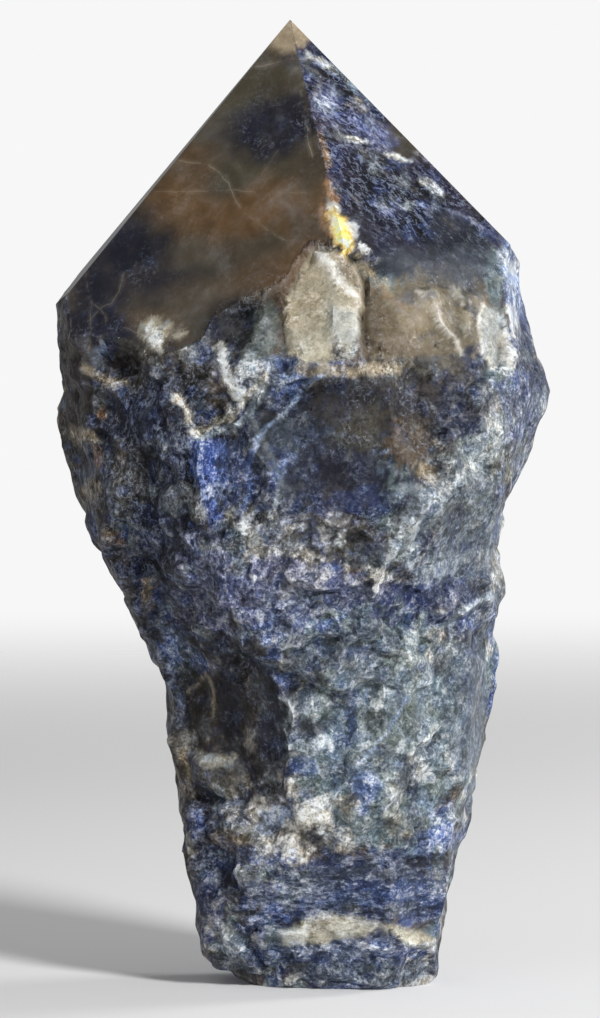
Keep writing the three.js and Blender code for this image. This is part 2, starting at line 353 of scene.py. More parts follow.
# What shows on the front, painted from the first row to the last: a colour, where its middle is,
# its half width and half height, how far it is turned (degrees, anticlockwise) and how strong.
# The left facet's rows keep off the right facet, and the other way round. A row's number in its
# part chooses how its edge is ragged, so a row put in between changes the shape of those after it.
FRONT = {
    "left facet": (
        ("smoke", -22, 130, 34, 26, 38, 1.0),
        ("olive", -13, 152, 10, 5.5, 25, 0.9),
        ("rust", -6.6, 157.8, 4, 1.3, 20, 0.5),
        ("olive", -13, 138.5, 10, 2.6, 10, 0.7),
        ("amber", -16, 131, 15, 4.4, 3, 0.9),
        ("amber", -27, 137, 6, 5, 40, 0.5),
        ("dusk", -22, 117.5, 16, 5, 0, 0.7),
        ("amber", -12, 121, 8, 3, 20, 0.4),
        ("ink", -13, 145, 8, 4.4, 14, 0.95),
        ("ink", -7, 147.6, 3, 4, 0, 0.8),
        ("navy", -14, 146, 5, 2.6, 20, 0.5),
        ("ink", -34.5, 124, 6.6, 7.2, 38, 1.0),
        ("ink", -38.5, 118, 4.4, 4.8, 30, 0.95),
        ("ink", -29, 119, 7, 2.6, 10, 0.5),
        ("ink", -40.8, 113.4, 4.4, 8, 0, 1.0),
        ("dusk", -35, 108.4, 5, 3, -20, 0.8),
        ("brown", -30, 112, 7, 3, 0, 0.6),
        ("amber", -5, 124, 4.5, 7, 0, 0.7),
        ("amber", -9, 119, 3, 5, -20, 0.5),
        ("tan", -30.4, 110, 2.2, 2.2, 0, 0.6),
        ("honey", -8.5, 161.8, 5, 2.6, 0, 1.0),
        ("brown", -22, 117, 8, 3, 0, 0.35),
    ),
    "right facet": (
        ("violet", 12, 140, 27, 15, -45, 1.0),
        ("navy", -2.5, 157, 2.6, 3, -45, 1.0),
        ("navy", 3, 151, 6, 2.6, -45, 0.6),
        ("lilac", 0.5, 147.4, 4.4, 3.0, -35, 0.85),
        ("mist", -1.6, 149, 2.0, 1.2, -30, 0.5),
        ("lilac", 6, 144.5, 5.5, 1.6, -28, 0.7),
        ("dusk", 5.4, 140.8, 4.4, 1.4, -14, 0.8),
        ("ink", 12, 131.5, 9, 4.6, -20, 0.95),
        ("ink", 6, 138, 4.4, 2.0, -30, 0.7),
        ("ink", 17, 134, 4, 1.8, -40, 0.7),
        ("navy", 6, 128, 6, 3, -20, 0.7),
        ("coal", 20.6, 127.8, 5.0, 3.0, -38, 0.95),
        ("olive", 11.2, 143.3, 4.2, 2.4, -50, 0.95),
        ("tan", 3.3, 148.8, 2.2, 1.2, -30, 0.8),
        ("white", 3.0, 143.6, 2.2, 0.5, -10, 0.75),
        ("white", 10.8, 140.3, 3.0, 0.4, -25, 0.8),
        ("white", 16.4, 135.3, 2.4, 0.6, -35, 0.8),
        ("mist", 12.2, 131.8, 2.0, 0.5, 10, 0.6),
        ("lilac", 8.8, 131.2, 2.2, 0.9, 0, 0.6),
        ("lilac", 22.5, 129.6, 4.2, 0.8, -32, 0.55),
        ("white", -4.2, 157.3, 1.2, 0.6, -50, 0.7),
        ("white", -1.5, 155.3, 2.2, 0.6, -40, 0.7),
        ("mist", 1.6, 153.0, 2.4, 0.6, -45, 0.6),
        ("black", -1.2, 153.4, 1.7, 0.8, -30, 0.95),
        ("black", 1.4, 150.8, 2.0, 1.0, -35, 0.95),
        ("black", 0.8, 148.6, 1.1, 0.8, 0, 0.95),
        ("black", 7.0, 146.2, 1.3, 1.0, -40, 0.95),
        ("black", 2.2, 135, 1.3, 1.0, 0, 0.95),
        ("black", 5.5, 134.8, 0.9, 1.5, 10, 0.9),
        ("black", 6.4, 138.2, 0.9, 1.0, 0, 0.9),
        ("black", 11.3, 133.0, 1.3, 0.9, 0, 0.95),
        ("black", 13.6, 130.0, 2.2, 1.7, -15, 0.95),
        ("black", 16.2, 130.0, 1.2, 1.6, -10, 0.9),
        ("black", 15.4, 134.0, 2.4, 1.0, -30, 0.9),
        ("black", 19.2, 133.7, 1.2, 0.9, -40, 0.9),
        # between the facet and the hollow
        ("coal", 20, 123.4, 8, 2.6, 0, 0.8),
        ("navy", 9, 122.6, 4.5, 2.6, -20, 0.8),
        # the tip and the ridge
        ("honey", -6.5, 161.8, 3, 2.6, 0, 1.0),
        ("brown", -2.2, 138, 1.3, 8, 11, 0.8),
        ("ink", 20, 128, 5, 2.6, -36, 0.5),
    ),
    "star": (
        ("bone", -30.8, 110.2, 2.8, 2.6, 0, 0.7),
        ("white", -31, 110.0, 1.4, 2.2, 20, 1.0),
        ("cream", -30.2, 108.0, 1.6, 0.8, -30, 0.8),
        ("bone", -26.4, 110.2, 1.2, 0.5, 0, 0.6),
    ),
    "ridge": (
        ("orange", -2.4, 141.5, 0.4, 4.6, 12, 0.7),
        ("orange", -0.9, 134, 0.6, 3.2, 12, 0.8),
        ("white", -0.9, 131.9, 1.6, 1.0, -40, 0.8),
        ("orange", -1.8, 129.4, 0.9, 3.0, 23, 0.5),
        ("gold", 0.7, 127.5, 1.5, 4.0, 23, 1.0),
        ("gold", 0.8, 127.0, 1.0, 3.0, 23, 0.8),
        ("cream", -0.8, 129.6, 0.7, 1.8, 23, 0.7),
        ("white", 2.3, 128.0, 0.5, 1.3, 35, 0.7),
        ("white", 4.4, 125.0, 0.5, 1.5, 45, 0.8),
        ("tan", 5.0, 122.0, 1.0, 3.0, 48, 0.9),
    ),
    "hollow under the right facet": (
        ("wax", 15, 111.5, 12, 9, 0, 1.0),
        ("tan", 14, 113, 6, 4, 20, 0.5),
        ("flint", 17, 121.6, 10, 2.4, -4, 0.7),
        ("orange", 9.4, 116.4, 3.4, 0.8, -48, 0.3),
        ("bone", 8.4, 119, 1.3, 1.0, -40, 0.8),
        ("brown", 13, 106, 6, 1.8, 0, 0.5),
        ("olive", 19.4, 113.4, 1.6, 4.4, 20, 0.5),
        ("flint", 23.6, 119.6, 4, 4.4, 0, 0.7),
        ("sea", 27.2, 119.4, 1.3, 5, 3, 0.7),
        # From the periwinkle to the second white, the pale strip along the right outline is painted
        # highlight, where light from the right catches the edge.
        ("periwinkle", 31, 116, 2.4, 9, 8, 0.8),
        ("sky", 30.2, 119, 1.6, 5, 8, 0.8),
        ("white", 29.4, 122.6, 0.9, 2.4, 20, 0.6),
        ("white", 30, 112, 0.8, 3, 8, 0.6),
        ("royal", 33, 111, 1.8, 4, 8, 0.7),
        ("black", 31.4, 110.6, 0.9, 2.4, 10, 0.8),
        ("flint", 17, 104.8, 4, 1.2, 0, 0.6),
        ("sea", 28, 103, 3.4, 2.4, -20, 0.7),
        ("slate", 24.8, 101.4, 1.4, 4, 0, 0.8),
    ),
    "under the left facet": (
        ("dusk", -31, 102.5, 12, 5.5, 0, 1.0),
        ("navy", -31, 93, 12, 8, 0, 1.0),
        ("ink", -39, 109, 3, 3, 0, 0.9),
        ("dusk", -34.5, 107.6, 4, 2.6, 0, 0.9),
        ("sky", -40.6, 106.4, 1.8, 2.0, 0, 0.6),
        ("black", -25, 101, 5, 3, 0, 0.6),
        ("bark", -17, 111.6, 6, 4.4, 0, 0.95),
        ("bark", -33, 104, 9, 3, -8, 0.7),
        ("moss", -14, 108.5, 2.2, 4.4, -26, 0.9),
        ("mist", -15.4, 104.4, 1.3, 3.4, -20, 0.7),
        ("flint", -12, 101, 4, 3, 30, 0.7),
        ("ink", -12.6, 94.6, 4.6, 3.4, 30, 0.9),
        ("sky", -6, 103.4, 4.4, 1.0, 28, 0.5),
        ("brown", -9.8, 110.4, 0.9, 4, 0, 0.8),
    ),
    "bright streak and the dark left side": (
        ("ink", -24, 84, 12, 13, 0, 0.85),
        ("navy", -34, 96.5, 6.5, 3.8, 0, 0.9),
        ("royal", -33, 97, 2.6, 1.4, 0, 0.5),
        ("dusk", -35.6, 86.5, 4, 6, 0, 0.75),
        ("tan", -36.5, 88, 1.6, 2.6, 0, 0.35),
        ("black", -31, 80.5, 1.9, 10, 4, 0.95),
        ("black", -26, 84, 3.0, 6.6, 0, 0.9),
        ("cobalt", -21.2, 87, 2.7, 5.4, 10, 1.0),
        ("cobalt", -20.6, 80.6, 1.6, 4.2, 10, 1.0),
        ("sky", -22.6, 90.6, 1.3, 1.5, 0, 0.7),
        ("periwinkle", -20.6, 83, 1.2, 4, 10, 0.5),
        ("navy", -16, 85, 2.6, 6.4, 0, 0.9),
        ("black", -14, 84, 1.2, 5, 0, 0.7),
        ("navy", -29, 74, 7, 8, 10, 0.9),
        ("cobalt", -24.4, 76.4, 1.6, 1.6, 0, 0.5),
        ("ink", -20, 74, 5, 4, 0, 0.6),
        ("flint", -26, 98, 4, 1.4, 0, 0.5),
    ),
    "scoop in the middle": (
        ("coal", 1, 94, 14.5, 9.5, 0, 1.0),
        ("ink", -3, 97, 7, 3.4, 10, 0.4),
        ("bark", 5, 98, 10, 4.4, 0, 0.8),
        ("olive", 4, 93.6, 5, 3.4, 0, 0.6),
        ("slate", -7.6, 91, 1.8, 6, 20, 0.5),
        ("brown", 12, 91.2, 4.6, 4.6, 10, 0.85),
        ("bark", 17, 99, 8, 5, 0, 0.6),
        ("black", 16, 101, 4, 2.6, 0, 0.5),
        ("navy", 0, 85, 10, 5.4, -10, 1.0),
        ("ink", 3, 86.6, 6, 2.4, -8, 0.8),
        ("royal", -1, 80.6, 10, 2.4, -6, 0.6),
        ("royal", 6, 82, 5, 2.4, 0, 0.6),
        ("ink", 11.4, 79, 2.6, 2.8, 0, 0.9),
        ("tan", 15.4, 86.6, 1.6, 2.8, 40, 0.7),
        ("mist", 14, 83.4, 3.0, 1.0, -30, 0.6),
        ("flint", -8, 78, 4, 6, 0, 0.7),
    ),
    "right shoulder": (
        ("coal", 23, 98, 3.6, 6, 0, 0.6),
        ("cobalt", 32, 97, 4, 8, 0, 0.6),
        ("slate", 29, 98, 3.4, 3.4, 0, 0.5),
        ("royal", 33, 103, 2.6, 4, 0, 0.7),
        ("ink", 33, 107, 2.4, 2.8, 0, 0.9),
        ("ink", 34.2, 102, 1.8, 2.4, 0, 0.85),
        ("mist", 35.2, 98.4, 1.8, 2.0, 0, 0.7),
        ("coal", 28.6, 97.4, 1.8, 1.2, 0, 0.6),
        ("moss", 27, 88.6, 7.4, 4.4, 10, 0.9),
        ("mist", 24, 89.4, 4, 2.6, 20, 0.6),
        ("olive", 28.6, 88.6, 2.6, 1.8, 0, 0.6),
        ("slate", 22, 76, 8, 9.5, -20, 1.0),
        ("moss", 23, 79, 5, 5, -20, 0.5),
        ("flint", 19, 80, 3.4, 3.4, -20, 0.7),
        ("flint", 25, 71, 3.4, 3.4, -20, 0.6),
        ("mist", 18, 71, 5, 1.6, 20, 0.4),
        ("mist", 11, 73, 3.4, 2.0, 30, 0.9),
        ("white", 8.4, 72.6, 1.8, 1.0, 30, 0.6),
    ),
    "middle": (
        ("dusk", 0, 75.4, 9.5, 4.6, 0, 0.95),
        ("black", 1, 76, 4, 2, 0, 0.6),
        ("white", -6, 77, 1.0, 0.7, 0, 0.7),
        ("white", 0.5, 75, 0.8, 1.2, 0, 0.6),
        ("white", -5, 72, 0.9, 0.6, 0, 0.6),
        ("royal", 5, 73, 2.6, 1.8, 0, 0.6),
        ("lilac", -14, 66, 15, 6, 0, 0.8),
        ("slate", -8, 64, 5, 4, 0, 0.6),
        ("ink", -27, 67, 6, 6, 0, 0.5),
        ("tan", -32, 65, 1.4, 3, 0, 0.7),
        ("royal", 13, 64.6, 12, 3.6, 8, 0.95),
        ("lilac", 4, 66, 6, 2.6, 0, 0.6),
        ("royal", 17, 61.6, 5, 1.2, 6, 0.9),
        ("black", 23, 67, 1.6, 0.8, 20, 0.8),
        ("slate", 26, 64, 2.6, 6, 0, 0.7),
        ("periwinkle", 27.6, 60, 1.6, 4, 0, 0.7),
    ),
    "lower front": (
        ("sea", 9, 42, 17.5, 19, 0, 0.9),
        ("mist", 10, 46, 8, 8, 0, 0.3),
        ("slate", 2, 56, 8, 4, 0, 0.7),
        ("flint", -6, 55, 3, 2.4, 0, 0.5),
        ("dusk", 17.6, 54.4, 1.6, 1.8, 0, 0.8),
        ("dusk", -4, 51.6, 3.4, 1.4, 0, 0.8),
        ("mist", -4, 48, 3.4, 1.8, 0, 0.6),
        ("ink", -4.6, 43.4, 3.2, 1.6, 0, 0.9),
        ("periwinkle", 2.8, 45.4, 0.9, 5.4, 0, 0.7),
        ("white", -2.4, 40.3, 2.4, 1.2, 0, 0.7),
        ("periwinkle", -6, 36.6, 3.4, 1.6, 0, 0.5),
        ("dusk", 6, 38, 4, 3, 0, 0.4),
        ("navy", 8.6, 39.4, 2.0, 1.6, 30, 0.6),
        ("coal", 12, 34, 2.2, 3.2, 0, 0.75),
        ("white", 14.2, 35.8, 1.8, 1.8, 0, 0.8),
        ("mist", 15, 40.6, 3.4, 2.2, 0, 0.6),
        ("slate", 23.6, 46, 3.0, 11, 4, 0.8),
        ("mist", 19.8, 35.6, 1.2, 6, -8, 0.7),
        ("coal", 18.4, 31.4, 1.6, 1.8, 0, 0.6),
        ("sky", -10.4, 28, 3.2, 2.2, 20, 0.8),
        ("cream", -3.6, 28.8, 2.8, 2.6, 20, 0.85),
        ("white", -3.6, 28.4, 1.6, 1.8, 20, 0.5),
        ("dusk", -4.2, 24.4, 2.0, 1.6, 0, 0.8),
        ("cream", 0.4, 24.2, 2.6, 2.0, 0, 0.55),
        ("bone", 9.6, 30, 1.6, 4.4, 0, 0.6),
        ("tan", 1.6, 30.6, 2.0, 1.4, 0, 0.5),
        ("periwinkle", 4.6, 32.4, 2.4, 2.8, 0, 0.7),
        ("dusk", 12.4, 26.6, 3.4, 3.4, 0, 0.6),
        ("periwinkle", 18.8, 24.8, 2.6, 2.2, 0, 0.9),
    ),
    # The bark, ink, navy and dusk over the recess are painted shade; the royal, brown and tan spots are
    # the stone's own.
    "dark recess": (
        ("bark", -18, 44, 9.5, 15, 6, 1.0),
        ("ink", -18, 49, 2.4, 8, 0, 0.9),
        ("navy", -11, 45, 2.2, 8, 12, 0.7),
        ("dusk", -20.5, 36, 4, 2.6, 0, 0.9),
        ("dusk", -23, 47.6, 3.2, 4.4, 10, 0.7),
        ("royal", -24, 27, 1.2, 3, 0, 0.95),
        ("dusk", -17, 25, 4, 4, 0, 0.8),
        ("brown", -19, 24, 2.6, 2.4, 0, 0.8),
        ("tan", -16, 24.6, 1.6, 1.4, -20, 0.5),
        ("bark", -15, 15, 4.6, 5.5, 0, 0.9),
        ("tan", -10.6, 16.4, 1.4, 1.6, 0, 0.6),
    ),
    "bands at the foot": (
        ("royal", 4, 16.2, 17, 5.8, 0, 1.0),
        ("navy", 4, 18.6, 15, 1.4, 0, 0.5),
        ("slate", 4, 16, 13, 4, 0, 0.5),
        ("periwinkle", 6, 15, 9, 2.4, 0, 0.35),
        ("royal", -21.6, 13, 2.6, 6, 0, 0.7),
        # A painted shadow: the black line under the small ledge at the top of the foot.
        ("black", 14, 20.9, 5.4, 0.8, 4, 0.85),
        ("navy", 6, 12, 10, 1.0, 0, 0.7),
        ("royal", -1, 5.2, 13, 2.4, 3, 1.0),
        ("sky", -1, 5.2, 9.5, 1.5, 3, 0.35),
        ("slate", 6, 1.8, 13, 2.2, 0, 0.95),
        ("flint", -15, 4, 6, 4, 0, 0.6),
        ("mist", -18, 6.4, 3.6, 2.4, -20, 0.5),
        # A painted highlight: the pale strip along the right outline at the foot, where light from the
        # right catches the edge.
        ("white", 18.4, 11, 0.8, 7, -6, 0.8),
    ),
    # The bark, black and coal here are painted shadow on the left side face, which is turned from the
    # light; the tan and orange are the stone's own.
    "left edge": (
        ("bark", -44.4, 105.5, 3.0, 8.4, 0, 1.0),
        ("bark", -43.2, 98.6, 2.2, 3.6, 0, 1.0),
        ("tan", -43.5, 93, 2.8, 1.4, 0, 0.6),
        ("orange", -39.6, 97.4, 0.8, 1.9, 0, 0.8),
        ("orange", -40.6, 89.4, 0.8, 2.2, 0, 0.5),
        ("black", -44.2, 90, 1.6, 1.5, 0, 0.8),
        ("tan", -41.8, 83, 1.8, 3, 10, 0.6),
        ("coal", -42.8, 86.4, 1.6, 1.6, 0, 0.7),
        ("black", -38.6, 80, 1.4, 2.8, 20, 0.8),
        ("orange", -37.4, 76, 0.8, 2.4, 20, 0.4),
        ("bark", -40, 73, 2.6, 9, 22, 0.8),
        ("bark", -30, 50, 2.2, 10, 14, 0.7),
    ),
}
# Plates of stone with clean edges, painted over all that: a colour, how strong, and the outline.
PLATES = (
    ("brown", 0.95, BROWN_HOLLOW),
    ("wax", 0.5, BROWN_HOLLOW),
    ("bark", 0.3, ((4.2, 116), (3.2, 113), (3.4, 110.3), (6.4, 107.8), (7.6, 110.4), (6.2, 114.4))),
    ("coal", 0.7, ((-21, 112), (-20.4, 108), (-15, 107), (-14, 114.6), (-17.6, 115.6))),
    ("moss", 0.7, ((-14.6, 113.6), (-14.8, 107), (-10.6, 105.4), (-9.8, 112), (-11.6, 115.6))),
    ("bone", 0.9, CHIP),
    ("tan", 0.5, ((-4.1, 124.2), (-7, 120), (-9.2, 114), (-8.6, 111), (-4, 110.6), (-1.6, 118))),
    ("tan", 0.85, CHIP_WEDGE),
    ("cream", 0.9, CHIP_FROST),
    ("bone", 0.9, ((-8, 110.3), (-7.6, 106.8), (-4.6, 105.4), (-1.3, 105.8), (-1.5, 110.4))),
    ("mist", 0.4, CHIP_SIDE),
    ("bone", 0.5, TONGUE),
    ("mist", 0.5, TONGUE),
    ("mist", 0.7, ((11.8, 55), (12.6, 50.4), (15.6, 49.4), (16.6, 53), (14.8, 55.6))),
    ("mist", 0.7, ((4.9, 49.4), (5.2, 44), (9.4, 43.6), (12.2, 47.6), (11, 49.6))),
    ("flint", 0.85, ((-1.6, 50), (-1.2, 46.6), (2.6, 46.2), (2.4, 50))),
    ("flint", 0.8, ((-7.4, 44.4), (-6.8, 42.2), (-2, 42.2), (-1.8, 44.2))),
    ("bone", 0.4, ((-25, 39.4), (-22.4, 36.6), (-18, 37.2), (-16.6, 39.2))),
    ("dusk", 0.7, ((-23.8, 36.6), (-22.4, 31.6), (-18, 32.4), (-17.4, 36.8))),
    ("cobalt", 0.75, STREAK),
    ("royal", 0.7, STREAK_SIDE),
    ("flint", 0.55, ((0.8, 55), (2, 50.6), (7.4, 50.8), (8.2, 55.4), (4, 57))),
    ("moss", 0.6, ((5, 46.6), (6, 41), (11, 39.6), (14, 42), (13.4, 47))),
    ("slate", 0.6, ((18.6, 58), (17.8, 44), (20.6, 34), (24, 36), (25.4, 50), (24.6, 59))),
    ("flint", 0.5, ((9.6, 38.4), (10.4, 32.6), (13.6, 31.6), (14.4, 36), (12, 39))),
    ("bone", 1.0, PALE_BAND),
    ("mist", 0.3, PALE_BAND),
    ("white", 0.55, ((-9.4, 8.8), (-9, 6.4), (-5.2, 6.4), (-4.6, 9.6))),
    ("tan", 0.45, ((-4.2, 10.6), (-3.8, 7.4), (-0.2, 8), (0, 10.8))),
    ("bone", 1.0, PALE_STRIPE),
)
PLATE_EDGE = 0.4  # how wide their edges are
PLATE_RAG = 0.5  # how ragged
# The noise behind ragged edges on rough and on polished stone, and behind the gaps in a colour. Each
# is made in several ways, one for each seed.
ROUGH_RAG = {"size": 4.0, "layers": 4, "fade": 0.85}
SOFT_RAG = {"size": 9.0, "layers": 4, "fade": 0.5}
GAPS = {"size": 3.0, "layers": 3, "fade": 0.8}
GAP_RANGE = (-0.35, 0.15)  # from where to where in its noise a gap fills up
WAY_SEEDS = (80, 84, 88, 92)
GAP_SEED = 20  # what is added to those seeds for the gaps
BLOT_EDGE = (1.15, 0.85)  # a blot's edge on rough stone, as shares of its size, from nothing to full
CLOUD_EDGE = (1.45, 0.45)  # the same on polished stone
BLOT_RAG = 1.0  # how ragged that edge is on rough stone
CLOUD_RAG = 0.9  # the same on polished stone
BLOT_GAPS = 0.3  # how much of the colour is missing in the gaps of a blot on rough stone
CLOUD_GAPS = 0.2  # the same on polished stone
RIGHT_FACET_CLOUDY = 0.45  # how far the right facet is painted in the way of polished stone
PART_CLOUDY = {"star": 0.4, "ridge": 0.4}  # parts that are painted less in that way than the rest

# Wider lines on the front: a colour, how strong, half how wide, and where they run. The pale ones along
# crests are partly painted highlight, and the black ones along the recess's edge and in the cleft are
# painted shade.
VEINS = (
    ("mist", 0.8, 0.9, SEAM_UNDER_STAR),
    ("sky", 0.7, 0.6, ((-1.2, 103.4), (-6, 100.4), (-9.2, 97.1), (-12.4, 93), (-14, 90.1))),
    ("periwinkle", 0.6, 0.6, ((-14, 90.1), (-15.4, 86), (-15.2, 83), (-16.6, 79))),
    ("cream", 0.8, 0.8, ((-27.6, 100), (-24.9, 94.9), (-23.4, 92.6))),
    ("white", 1.0, 1.4, ((-19.8, 107), (-18.6, 103), (-17, 99.4))),
    ("bone", 0.6, 0.8, SEAM_OF_NOOK),
    ("tan", 0.7, 0.9, SEAM_AT_LEFT),
    ("mist", 0.45, 3.4, ((27.6, 95), (26, 91), (19, 85), (14.6, 79.6), (11, 74.6), (8.3, 71.7))),
    ("white", 0.25, 0.6, ((27, 92), (21, 86), (16, 81), (13, 76.8))),
    ("mist", 0.7, 0.8, LEDGE),
    ("tan", 0.8, 1.2, ((-5, 103.8), (2, 103.6), (10, 104.4))),
    # Painted shade: black along the recess's edge and in the cleft at the left.
    ("black", 0.7, 0.8, ((-16, 57), (-12, 52), (-8.4, 44), (-9, 33))),
    ("black", 0.6, 0.6, CLEFT_AT_LEFT),
    ("cream", 0.55, 0.5, RIB_EDGE),
    ("bone", 0.5, 0.5, ((20.4, 117.8), (22, 114), (21.7, 109.8))),
    ("cream", 0.9, 0.45, ((25, 115.4), (23.8, 112), (24.4, 107.4), (27, 104.6))),
    ("white", 0.7, 0.5, ((27.4, 113), (28.9, 109.8), (30.5, 107.1))),
    ("tan", 0.7, 0.8, ((5, 121.4), (7, 119.6), (9.6, 117))),
    ("mist", 0.6, 0.4, ((-31, 110), (-33.6, 111.4))),
    ("mist", 0.6, 0.4, ((-31, 110), (-28.6, 112.6))),
    ("mist", 0.5, 0.5, ((-25, 39), (-21, 38.6), (-17.5, 36.5))),
    ("tan", 0.6, 0.6, ((-26.8, 41), (-25.4, 35), (-24, 31))),
    ("tan", 0.5, 0.4, ((-25, 49), (-22, 52), (-20.4, 49.4), (-21.4, 45))),
    ("mist", 0.7, 0.5, ((-10, 48.5), (-7.6, 45), (-8.6, 43.6), (-8.2, 38.6))),
    ("sky", 0.6, 0.5, SEAM_LOW_MIDDLE),
    ("cream", 0.7, 0.5, SEAM_LOW_RIGHT),
    ("mist", 0.6, 0.5, SEAM_OVER_FOOT),
    ("mist", 0.6, 0.5, ((18.6, 48), (20, 44), (21.6, 41))),
    ("mist", 0.4, 0.6, ((-14.7, 95.5), (-11, 90), (-9, 84), (-12, 76))),
)
VEIN_RAG = 0.6  # how ragged their edges are, as a share of half their width
VEIN_CORE = 0.4  # how much of half their width has the full colour

RIGHT_FROM = (-0.08, 0.08)  # how far a polished face leans sideways between the left facet and the right

# How strongly light and dark grains show: rows like the front's, with this number in place of the
# colour and without a strength.
GRAINS_ROUGH = 1.0
GRAINS_POLISHED = 0.1
GRAINS = {
    "left facet": (
        (0.4, -12, 145.6, 6, 3.6, 14),
        (0.4, -33, 122, 3.4, 3, 38),
        (0.8, -30.6, 109.6, 2.6, 2.6, 0),
        (0.5, -37, 110, 5, 4, 0),
    ),
    "right facet": (
        (1.1, 12, 140, 27, 15, -45),
        (0.2, 21, 127.6, 4.8, 2.8, -38),
        (0.1, 11.2, 143.3, 3.8, 2.1, -50),
        (0.25, 18, 122.5, 9.5, 3.2, 0),
    ),
    "gold": ((0.35, 0.6, 128, 2.6, 5, 20),),
    "tip": ((0.1, -8, 161.6, 6, 3.4, 0),),
    "left rim": ((0.3, -44, 105, 3.4, 9, 0),),
    "hollow and chip": (
        (0.5, -15, 111, 7, 6, 0),
        (0.14, 16, 114, 14, 11, 0),
        (0.3, 27, 111, 4, 7, 0),
        (0.22, -3, 115, 9, 12, 0),
    ),
    "below": (
        (0.35, 1, 91, 14, 12, 0),
        (0.6, 16, 99, 5, 4, 0),
        (0.8, 6, 40, 22, 20, 0),
        (0.75, 21, 76, 8, 9, -20),
        (0.5, -19, 45, 9, 12, 0),
        (0.6, 23, 44, 3.4, 12, 4),
        (0.35, 4, 8.6, 14, 2, 0),
    ),
}
BANDED = (5, 13, 22, 10, 0)  # where the grain lies flat in bands: the foot
SLANTED = (12, 140, 24, 13, -45)  # where it falls away to the right: the right facet
UPRIGHT = (-30, 84, 14, 18, 0)  # where it stands: the dark side on the left
LIE_RAG = (0.5, 5.0, 96)  # how ragged the edges of those places are: how much, how large, its seed
LIE_EDGE = (1.1, 0.9)  # where they fade in, as shares of their size

# For those three in turn, how many degrees the grain falls to the right and how it is stretched.
LIES = (
    (0, (1.6, 1.6, 0.85)),
    (38, (1.9, 1.3, 1.15)),
    (0, (0.9, 0.9, 1.4)),
)

# Where the stone is a heap of crystals with pale rims, partly their own pale edges and partly painted
# highlight on the lumps' edges: the lower front. Then its edge, as above.
RIMMED = (9, 42, 17, 19, 0)
RIMMED_RAG = (0.5, 6.0, 97)
RIMMED_EDGE = (1.15, 0.8)

CRACK_HALF_WIDTH = 0.16
CRACK_CORE = 0.6  # how far to each side of its line a crack may sway at its full strength
CRACK_REACH = 1.5  # from where on it shows nothing
CRACK_FAR = 9.0  # the distance that is stored where there is no crack
# Thin pale cracks on the front, and a painted highlight along the ridge drawn as one: a set, how strong,
# and where they run. Where two of one set come close, the later row hides the earlier.
CRACKS_AND_GLINT = (
    (0, 0.6, ((-14, 155.5), (-9, 156.6), (-5, 157))),
    (0, 0.6, ((-26, 139.5), (-22, 139), (-19, 136.5), (-16, 131), (-10.5, 127), (-6, 124.5))),
    (1, 0.35, ((-30, 134.4), (-18, 134.6), (-5, 134))),
    # This row is a painted highlight: the glint of light along the ridge's small bevel, drawn as a crack.
    (2, 0.8, ((-5.9, 150.9), (-5, 145), (-4.4, 141))),
    (1, 0.5, ((-13, 117.5), (-9, 119), (-6, 120.8))),
    (0, 0.45, ((-43, 121), (-41.5, 115), (-42, 108))),
    (1, 0.45, ((-42, 116), (-39, 113), (-40.5, 108))),
    (2, 0.4, ((-41.5, 113), (-37, 117), (-36, 120))),
    (1, 0.25, ((-10, 141), (-13, 137), (-11, 133))),
    (0, 0.5, ((-35, 110.8), (-30.5, 109.5), (-26, 111))),
    (1, 0.5, ((-32.4, 113.4), (-30.5, 109.5), (-29.6, 106))),
    (2, 0.5, ((-28, 113), (-30.5, 109.5), (-33, 107))),
    (0, 0.4, ((3, 150), (8, 145), (15, 140), (24, 131))),
    (2, 0.35, ((0, 146), (6, 139), (14, 134), (21, 127))),
    (1, 0.35, ((12, 148), (17, 141), (24, 136))),
)


# ---- Noise ----


def smooth(start, end, value):
    """0 at start and 1 at end, with a soft run between."""
    share = np.clip((value - start) / (end - start), 0, 1)
    return share * share * (3 - 2 * share)


def scrambled(cells, seed):
    """A random number from 0 to 1 for each cell of a lattice, always the same for a seed."""
    x, y, z = (cells[..., axis].astype(np.uint32) for axis in range(3))
    value = x * np.uint32(73856093) ^ y * np.uint32(19349663) ^ z * np.uint32(83492791)
    value ^= np.uint32((seed * 2654435761) & 0xFFFFFFFF)
    value ^= value >> np.uint32(15)
    value *= np.uint32(0x2C1B3C6D)
    value ^= value >> np.uint32(12)
    value *= np.uint32(0x297A2D39)
    value ^= value >> np.uint32(15)
    return value / 2**32


def noise(points, size, seed):
    """Smooth noise from -1 to 1, with bumps about size across."""
    scaled = points / size
    cells = np.floor(scaled).astype(np.int64)
    share = scaled - cells
    share = share**3 * (share * (share * 6 - 15) + 10)
    total = np.zeros(len(points))
    for corner in itertools.product((0, 1), repeat=3):
        weight = np.prod(np.where(corner, share, 1 - share), axis=1)
        total += weight * scrambled(cells + np.array(corner), seed)
    return 2 * total - 1


def layered(points, size, seed, layers=4, fade=0.55):
    """Noise with ever finer layers on it, about -1 to 1."""
    strengths = [fade**layer for layer in range(layers)]
    total = sum(
        strength * noise(points, size / 2**layer, seed + layer)
        for layer, strength in enumerate(strengths)
    )
    return total / sum(strengths)


def wander(points, size, reach, seed):
    """The points moved about by up to reach, so that what is laid out on them has uneven edges."""
    moves = [layered(points, size, seed + 10 * axis, layers=3) for axis in range(3)]
    return points + reach * np.stack(moves, axis=1)


